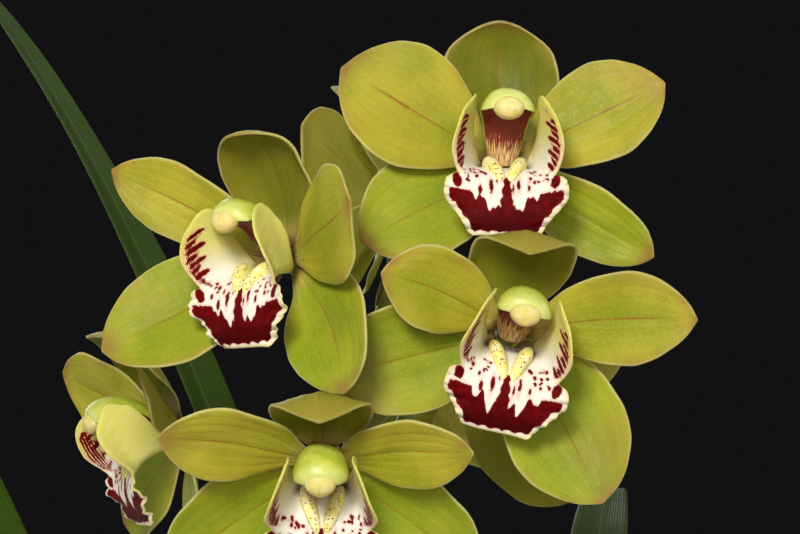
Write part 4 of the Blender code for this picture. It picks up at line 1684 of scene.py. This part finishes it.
@dataclass(frozen=True)
class Bulb:
    """A pseudobulb: a flattened ovoid with soft ribs, wrapped in dry leaf sheaths."""

    x: float
    y: float
    thick: float
    height: float
    fan: float
    flatten: float = .82
    cut: float = -.62

    def place(self) -> tuple[float, float]:
        """Where it stands, drawn in from the pot's wall where it would come too near.

        Returns:
            X and Y in mm.
        """
        reach = POT_RIM - BAND_OUT - POT_WALL - 3 - self.thick / 2
        inward = min(1, reach / math.hypot(self.x, self.y))
        return self.x * inward, self.y * inward

    def ring(self, rise: np.ndarray, turn: np.ndarray, out: np.ndarray) -> np.ndarray:
        """Points on the bulb.

        The radius is that of a ball cut below, narrowed by a square of the rise, plus what stands out.

        Args:
            rise: Share of the height.
            turn: Angle from the fan's line, in radians.
            out: Millimetres outside the skin.

        Returns:
            The points in the model's frame.
        """
        z = self.cut + rise * (1 - self.cut)
        wide = np.sqrt(np.clip(1 - z * z, .0004, 1)) * (1 - .16 * rise**2)
        p = (wide * self.thick / 2 + out) * np.cos(turn)
        q = (wide * self.thick / 2 * self.flatten + out) * np.sin(turn)
        fan = math.radians(self.fan)
        x, y = self.place()
        return np.stack(
            [
                x + p * math.cos(fan) - q * math.sin(fan), y + p * math.sin(fan) + q * math.cos(fan),
                BARK_TOP - 1.5 + rise * (self.height + 1.5)
            ],
            axis=-1
        )

    def body(self) -> Surface:
        """The bulb itself, ribbed by cosines of the angle.

        Returns:
            The closed bulb.
        """
        rise, turn = np.meshgrid(1 - (1 - np.linspace(0, .995, 60)) ** 1.3, around(96), indexing="ij")
        ribs = (
            (.45 * np.cos(9 * turn + 1) + .25 * np.cos(17 * turn)) * ease(rise, 0, .3) * ease(rise, 1, .7)
            - .4
        )
        rings = self.ring(rise, turn, ribs)
        return rind(rings, rings[0].mean(axis=0), rings[-1].mean(axis=0), {"along": rise})

    def sheath(self, turn: float, tall: float, open_to: float, out: float, seed: float) -> Surface:
        """One dry sheath: an arc of the bulb's own shape that narrows to a torn top and stands a little off.

        Args:
            turn: Azimuth of its middle from the fan's line, in degrees.
            tall: Share of the bulb's height that it covers.
            open_to: Half of the arc that it covers, in degrees.
            out: Millimetres off the bulb.
            seed: A number that shifts its folds.

        Returns:
            The closed sheath.
        """
        s, t = np.meshgrid(np.linspace(0, 1, 40), np.linspace(-1, 1, 61), indexing="ij")
        tear = (
            1
            - .34 * np.abs(t) ** 1.7
            - .06 * np.abs(np.sin(9 * t + seed))
            - .03 * np.sin(31 * t + 2 * seed)
        )
        rise = .01 + s * tall * tear
        arc = np.radians(turn + open_to * t * (1 - .18 * s))
        folds = .35 * np.sin(13 * t + seed) + .25 * np.sin(29 * t + 2 * seed + 2 * s)
        stand_off = out + folds * .6 + 1.1 * s**3 + .7 * np.abs(t) ** 6
        place = self.ring(np.clip(rise, 0, .93), arc, stand_off)
        place[..., 2] += np.clip(rise - .93, 0, 1) * self.height
        rim = np.minimum((1 - np.abs(t)) * 20, (1 - s) * self.height * tall)
        return blade(
            place, normals_of(place), np.full_like(s, .55), np.stack([.5 + t / 2, s], axis=-1), {"rim": rim}
        )

    def build(self, number: int) -> int:
        """Builds the bulb and its sheaths.

        Args:
            number: The bulb's number.

        Returns:
            How many pieces were made.
        """
        piece(
            f"pseudobulb_{number}_body", self.body(), [BulbFinish()], (f"pseudobulb_{number}",),
        )
        layers = ((0, .62, 112, .9), (180, .74, 108, 1.3), (8, .34, 104, 2.4), (172, .46, 100, 1.9))
        made = [
            self.sheath(turn, tall, wide, out, number + k) for k,
            (turn, tall, wide, out) in enumerate(layers)
        ]
        piece(f"pseudobulb_{number}_sheaths", joined(made), [BULB_PAPER], ())
        return 2


BULBS = (
    Bulb(-37, 18, 44, 66, 160), Bulb(4, -31, 42, 58, 195), Bulb(43, 12, 46, 70, 15), Bulb(2, 50, 40, 64, 80)
)


@dataclass(frozen=True)
class Leaf:
    """A strap leaf that leaves its bulb's top along the fan, turns to its azimuth and arches over."""

    bulb: int
    offset: float
    azimuth: float
    length: float
    width: float
    rise: float
    fall: float
    late: float
    twist: float
    thick: float = 1.2
    fold: float = 15.0

    def surface(self, rows: int, columns: int, seed: float) -> Surface:
        """The blade.

        The slope goes from rise to fall by a power of the share of the length. The two halves lean up
        from the keel by the fold's angle, and slow waves run along both margins.

        Args:
            rows: Points along it.
            columns: Points across it.
            seed: A number that shifts the waves.

        Returns:
            The closed blade.
        """
        bulb = BULBS[self.bulb]
        x, y = bulb.place()
        fan = math.radians(bulb.fan)
        drop = bulb.height * .5 * (1 - math.sqrt(1 - (self.offset / (bulb.thick / 2)) ** 2))
        foot = np.array(
            [
                x + math.cos(fan) * self.offset, y + math.sin(fan) * self.offset,
                BARK_TOP + bulb.height - drop - 1
            ]
        )
        S = np.linspace(0, 1, 201)
        slope = np.radians(self.rise + (self.fall - self.rise) * S**self.late)
        base = bulb.fan + 180 * round((self.azimuth - bulb.fan) / 180)
        head = np.radians(base + (self.azimuth - base) * ease(S, 0, .35))
        out = np.stack([np.cos(head), np.sin(head)], axis=1)
        along, face, side = lifted(out, slope)
        turn = np.radians(self.twist * S)[:, None]
        side, face = side * np.cos(turn) + face * np.sin(turn), face * np.cos(turn) - side * np.sin(turn)
        u, t = np.meshgrid(
            np.linspace(0, 1, rows), np.sin(np.linspace(-1, 1, columns) * 1.4) / math.sin(1.4),
            indexing="ij"
        )
        half = curve(((0, .5), (.12, .62), (.4, 1), (.7, .92), (.88, .6), (1, .04)), u) * self.width / 2
        fold = np.radians(self.fold + 30 * np.clip(1 - u / .25, 0, 1))
        a = t * half
        lean = np.sqrt(a * a + .6) - math.sqrt(.6)
        wave = .5 * np.abs(t) ** 3 * np.sin(24 * u + seed + np.sign(t)) * ease(u, .1, .3)
        flute = .06 * np.cos(31 * t)
        spine = walk(along, self.length) + foot
        place = (
            read_at(S, spine, u)
            + read_at(S, side, u) * (a * np.cos(fold))[..., None]
            + read_at(S, face, u) * (lean * np.sin(fold) + wave + flute)[..., None]
        )
        rim = np.minimum(half - np.abs(a), (1 - u) * self.length)
        thick = (
            self.thick
            * (1 + .8 * np.exp(-((a / 1.6) ** 2)) + ease(u, .1, 0))
            * np.clip(rim / .8, 0, 1) ** .5
        )
        spots = np.stack([.5 + a / 300, u * self.length / 300], axis=-1)
        return blade(place, normals_of(place), thick, spots, {"along": u, "across": t, "rim": rim})

    def build(self, number: int) -> int:
        """Builds the leaf.

        Args:
            number: The leaf's number.

        Returns:
            How many pieces were made.
        """
        rng = np.random.default_rng(50 + number)
        skin = self.surface(110, 31, rng.uniform(0, 6)).toned(rng.uniform(0, 1))
        piece(f"leaf_{number:02d}_blade", skin, [LeafFinish()], (f"leaf_{number:02d}",))
        return 1


LEAVES = (
    Leaf(0, 11, 188, 520, 25, 80, 20, 2.1, 14), Leaf(0, 5, 162, 570, 24, 79, 26, 2.3, -20),
    Leaf(0, -2, 92, 430, 22, 83, -25, 1.7, 16), Leaf(0, -10, -58, 330, 19, 66, -35, 1.3, 10),
    Leaf(1, 10, 212, 400, 20, 68, -50, 1.4, -12), Leaf(1, 4, 244, 380, 20, 77, -48, 1.2, 10),
    Leaf(1, -11, -18, 380, 21, 66, -55, 1.3, 12), Leaf(1, -5, -46, 360, 19, 74, -40, 1.2, -10),
    Leaf(2, -9, 82, 490, 24, 82, -22, 1.9, 14), Leaf(2, -2, 34, 500, 23, 82, -32, 1.9, -14),
    Leaf(2, 12, -6, 440, 23, 72, -42, 1.6, 10), Leaf(2, 5, -42, 410, 21, 76, -52, 1.5, -12),
    Leaf(3, 9, 104, 480, 22, 74, -20, 1.8, 10), Leaf(3, 2, 141, 600, 27, 80, 42, 1.5, 12),
    Leaf(3, -5, 90, 560, 23, 83, 6, 2.2, -12),
)


@dataclass(frozen=True)
class Pot:
    """Turned clay pot with a rim band, drain holes in its floor, and soft edges."""

    drain: float = 5.5
    drain_circle: float = 34.0
    drains: int = 5
    soft: float = 1.6

    def wall(self, z: float) -> float:
        """Outer radius of the wall at a height, in a straight taper from the foot to the band."""
        return POT_FOOT + (POT_RIM - BAND_OUT - POT_FOOT) * z / (POT_HEIGHT - BAND_HEIGHT)

    def inner(self, z: float) -> float:
        """Inner radius at a height."""
        return min(self.wall(z), POT_RIM - BAND_OUT) - POT_WALL

    def profile(self) -> np.ndarray:
        """The pot's outline: up outside, over the rim and down to the floor.

        Returns:
            Pairs of radius and height. Each bend is a quadratic curve between its two straight runs.
        """
        band, rim, soft = POT_HEIGHT - BAND_HEIGHT, POT_RIM, self.soft
        bends = [
            (self.wall(0) - .2, 0, soft), (self.wall(band) + .3, band - .2, .5), (rim - .9, band - .2, 1.8),
            (rim - .1, POT_HEIGHT, 2.2), (self.inner(band), POT_HEIGHT, 2.2), (self.inner(band), band - 6, 8),
            (self.inner(POT_FLOOR + 1), POT_FLOOR, 6),
        ]
        path = np.array([(6.0, 0)] + [(r, z) for r, z, _ in bends] + [(6.0, POT_FLOOR)])
        made = [path[:1]]
        for k, (_, _, size) in enumerate(bends, 1):
            to_last, to_next = unit(path[k - 1] - path[k]), unit(path[k + 1] - path[k])
            t = np.linspace(0, 1, 7)[:, None]
            start, end = path[k] + to_last * size, path[k] + to_next * size
            made.append((1 - t) ** 2 * start + 2 * (1 - t) * t * path[k] + t**2 * end)
        made.append(path[-1:])
        rough = np.concatenate(made)
        reach = lengths(rough)
        spread = np.unique(np.concatenate([reach, np.arange(0, reach[-1], 3.0)]))
        return np.stack(
            [np.interp(spread, reach, rough[:, 0]), np.interp(spread, reach, rough[:, 1])], axis=1
        )

    def surface(self) -> Surface:
        """The pot turned round its axis.

        Each ring's radius swells by a few tenths of a millimetre in slow waves of the angle and the
        height, as a thrown pot's does, and less than that in fine turning lines.

        Returns:
            The closed pot, with the field damp for its darker foot and inside.
        """
        profile = self.profile()
        r, turn = np.meshgrid(profile[:, 0], around(180), indexing="ij")
        z = np.repeat(profile[:, 1:], 180, axis=1)
        swell = (
            (.22 * np.sin(2 * turn + z / 60) + .10 * np.sin(3 * turn + 1) + .12 * np.sin(z / 2.3))
            * ease(r, 30, 55)
            * ease(z, 0, 8)
        )
        rings = np.stack(
            [
                (r + swell) * np.cos(turn), (r + swell) * np.sin(turn),
                z + .25 * np.sin(3 * turn) * ease(z, 120, 160)
            ],
            axis=-1
        )
        outside = np.arange(len(profile))[:, None] < np.argmax(profile[:, 1])
        damp = np.where(
            outside, .55 * ease(z + 6 * np.sin(5 * turn) * np.sin(2 * turn + 1), 34, 4),
            .5 * ease(z, 165, 150)
        )
        return rind(rings, np.array([0, 0, 0.0]), np.array([0, 0, POT_FLOOR]), {"damp": damp})

    def build(self) -> int:
        """Builds the pot and drills its drains.

        Returns:
            How many pieces were made.
        """
        made = piece("pot_clay", self.surface(), [ClayFinish()], ("pot",))
        cutters = []
        for k in range(self.drains):
            turn = 2 * math.pi * (k + .25) / self.drains
            middle = np.array([self.drain_circle * math.cos(turn), self.drain_circle * math.sin(turn), 0])
            spin = around(40)
            ring = np.stack([np.cos(spin), np.sin(spin), 0 * spin], axis=1) * self.drain + middle
            rings = np.stack([ring + (0, 0, z) for z in (-20.0, 30.0)])
            cutters.append(
                rind(rings, middle + (0, 0, -20), middle + (0, 0, 30), {"damp": np.full((2, 40), .5)})
            )
        cutter = piece("pot_drain_cutter", joined(cutters), [ClayFinish()], ())
        cut = made.modifiers.new("Drains", "BOOLEAN")
        cut.operation, cut.solver, cut.object = "DIFFERENCE", "EXACT", cutter
        bpy.context.view_layer.update()
        drilled = bpy.data.meshes.new_from_object(made.evaluated_get(bpy.context.evaluated_depsgraph_get()))
        made.modifiers.clear()
        made.data = drilled
        bpy.data.objects.remove(cutter, do_unlink=True)
        drilled.shade_smooth()
        return 1


@dataclass(frozen=True)
class BarkBed:
    """Bark medium: a rough bed to the pot's wall, with loose chips on top."""

    chips: int = 420
    seed: int = 11

    def height(self, x: np.ndarray, y: np.ndarray) -> np.ndarray:
        """Top of the bed: a low crown with lumps as sines of the place.

        Args:
            x: Places across, in mm.
            y: Places front to back, in mm.

        Returns:
            Heights in mm.
        """
        r = np.hypot(x, y)
        lumps = .9 * np.sin(x / 5.3 + 1.2 * np.sin(y / 7)) * np.sin(y / 4.9 + x / 11)
        return BARK_TOP - 1.6 - 2.4 * ease(r, 45, 82) + lumps

    def bed(self) -> Surface:
        """The bed: rings from the middle of its top out to the wall and down inside the pot.

        Returns:
            The closed bed.
        """
        pot = Pot()
        r = np.concatenate(
            [
                np.linspace(1, pot.inner(BARK_WALL) - .6, 60),
                [pot.inner(138) - .6, pot.inner(80) - .6, pot.inner(14) - .6, 40, 4]
            ]
        )
        r, turn = np.meshgrid(r, around(120), indexing="ij")
        x, y = r * np.cos(turn), r * np.sin(turn)
        z = self.height(x, y)
        z[60:] = np.array([136, 80, 14.5, POT_FLOOR + .5, POT_FLOOR + .5])[:, None]
        rings = np.stack([x, y, z], axis=-1)
        return rind(
            rings, np.array([0, 0, BARK_TOP - 1.6]), np.array([0, 0, POT_FLOOR + .5]),
            {"tone": np.full(x.shape, .2)}
        )

    def loose(self) -> Surface:
        """The chips.

        Each is a ball pressed into a rounded flat block: its coordinates are raised to a low power,
        stretched to a length, width and thickness, dented by sines of its own, then turned and laid.

        Returns:
            All the chips as separate closed skins.
        """
        rng = np.random.default_rng(self.seed)
        n, rows, columns = self.chips, 5, 9
        lat, turn = np.meshgrid(np.linspace(.35, math.pi - .35, rows), around(columns), indexing="ij")
        ball = np.stack(
            [np.sin(lat) * np.cos(turn), np.sin(lat) * np.sin(turn), np.cos(lat)], axis=-1
        ).reshape(-1, 3)
        ball = np.concatenate([ball, [[0, 0, 1], [0, 0, -1]]])
        block = np.sign(ball) * np.abs(ball) ** .55
        size = np.stack([rng.uniform(4, 9, n), rng.uniform(2.6, 5.2, n), rng.uniform(1.0, 2.4, n)], axis=1)
        dents = 1 + .22 * np.sin(ball[None] @ rng.uniform(-3, 3, (n, 3, 3)) + rng.uniform(0, 6, (n, 1, 3)))
        points = block[None] * size[:, None] * dents
        spin, tip, roll = rng.uniform(0, 6.28, n), rng.normal(0, .22, n), rng.normal(0, .22, n)
        c, s = np.cos(spin), np.sin(spin)
        x, y, z = points[..., 0], points[..., 1], points[..., 2]
        z = z + x * tip[:, None] + y * roll[:, None]
        far = 76 * np.sqrt(rng.uniform(0, 1, n))
        aim = rng.uniform(0, 6.28, n)
        centre = np.stack([far * np.cos(aim), far * np.sin(aim)], axis=1)
        top = self.height(centre[:, 0], centre[:, 1]) + rng.uniform(-.2, 1.3, n)
        placed = np.stack(
            [
                x * c[:, None] - y * s[:, None] + centre[:, :1],
                x * s[:, None] + y * c[:, None] + centre[:, 1:], z + top[:, None]
            ],
            axis=-1
        )
        reach = np.hypot(placed[..., 0], placed[..., 1])
        placed[..., :2] *= np.minimum(1, 80.5 / np.maximum(reach, 1e-6))[..., None]
        one = rind(ball[:-2].reshape(rows, columns, 3), ball[-2], ball[-1], {})
        count = len(one.points)
        return Surface(
            placed.reshape(-1, 3),
            (one.corners[None] + (np.arange(n) * count)[:, None]).ravel(),
            np.tile(one.counts, n),
            np.tile(one.spots, (n, 1)),
            {"tone": np.repeat(rng.uniform(0, 1, n), count)},
        )

    def build(self) -> int:
        """Builds the bed and its chips.

        Returns:
            How many pieces were made.
        """
        piece("bark_bed", self.bed(), [BarkFinish()], ("bark_medium",))
        piece("bark_chips", self.loose(), [BarkFinish()], ())
        return 2


@dataclass(frozen=True)
class Lamp:
    """A soft square lamp in metres and watts, aimed at a height on the plant's axis."""

    name: str
    at: tuple[float, float, float]
    aim: float
    size: float
    watts: float

    def build(self) -> None:
        """Hangs the lamp."""
        light = bpy.data.lights.new(self.name, "AREA")
        light.energy, light.size, light.shape = self.watts, self.size, "SQUARE"
        made = bpy.data.objects.new(self.name, light)
        made.location = self.at
        made.rotation_euler = (Vector((0, 0, self.aim)) - Vector(self.at)).to_track_quat("-Z", "Y").to_euler()
        bpy.context.scene.collection.objects.link(made)


LAMPS = (
    Lamp("key", (-.22, -1.0, 1.06), .58, .28, 11.5),
    Lamp("front", (.06, -1.15, .70), .55, .45, 3.2),
    Lamp("fill", (.95, -.8, .62), .5, .9, 1.6),
    Lamp("top", (.1, .6, 1.7), .3, 1.4, 7),
    Lamp("back", (-.5, 1.7, .9), .4, 1.2, 12),
    Lamp("left", (-1.7, .2, .9), .45, 1.1, 7),
    Lamp("right", (1.7, .1, .9), .45, 1.1, 7),
)


@dataclass(frozen=True)
class Studio:
    """Pale floor, soft lamps and the camera at the height of the open flowers, in metres."""

    camera_at: tuple[float, float, float] = (0, -.8, .62)
    framed: float = .24
    film: float = 36.0
    floor_half: float = 2.2
    dusk: tuple[float, float, float, float] = (.006, .006, .0066, 1)

    def floor(self) -> None:
        """A wide level sheet under the pot."""
        mesh = bpy.data.meshes.new("floor")
        h = self.floor_half
        mesh.from_pydata([(-h, -h, 0), (h, -h, 0), (h, h, 0), (-h, h, 0)], [], [(0, 1, 2, 3)])
        mesh.materials.append(FloorFinish().material())
        made = bpy.data.objects.new("floor", mesh)
        bpy.context.scene.collection.objects.link(made)

    def build(self) -> None:
        """Lays the floor, hangs the lamps and sets the camera, whose lens frames its width at the flowers."""
        self.floor()
        for lamp in LAMPS:
            lamp.build()
        world = bpy.data.worlds.new("studio")
        world.use_nodes = True
        world.node_tree.nodes["Background"].inputs["Color"].default_value = self.dusk
        bpy.context.scene.world = world
        lens = bpy.data.cameras.new("camera")
        lens.lens = self.film * abs(self.camera_at[1]) / self.framed
        lens.clip_start = .01
        camera = bpy.data.objects.new("camera", lens)
        camera.location, camera.rotation_euler = self.camera_at, (math.pi / 2, 0, 0)
        bpy.context.scene.collection.objects.link(camera)
        bpy.context.scene.camera = camera
        bpy.context.scene.view_settings.view_transform = "Standard"


def main() -> None:
    """Builds the pot, the plant and the studio in order."""
    logging.basicConfig(level=logging.INFO, format="%(name)s: %(message)s")
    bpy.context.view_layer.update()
    Studio().build()
    LOG.info("pot: %d piece", Pot().build())
    LOG.info("bark: %d pieces", BarkBed().build())
    for number, bulb in enumerate(BULBS, 1):
        LOG.info("pseudobulb %d: %d pieces", number, bulb.build(number))
    for number, leaf in enumerate(LEAVES, 1):
        LOG.info("leaf %d: %d piece", number, leaf.build(number))
    LOG.info("spike: %d pieces", Spike().build())
    for number, flower in enumerate(FLOWERS, 1):
        LOG.info("flower %d: %d pieces", number, flower.build(number))


if __name__ == "__main__":
    main()
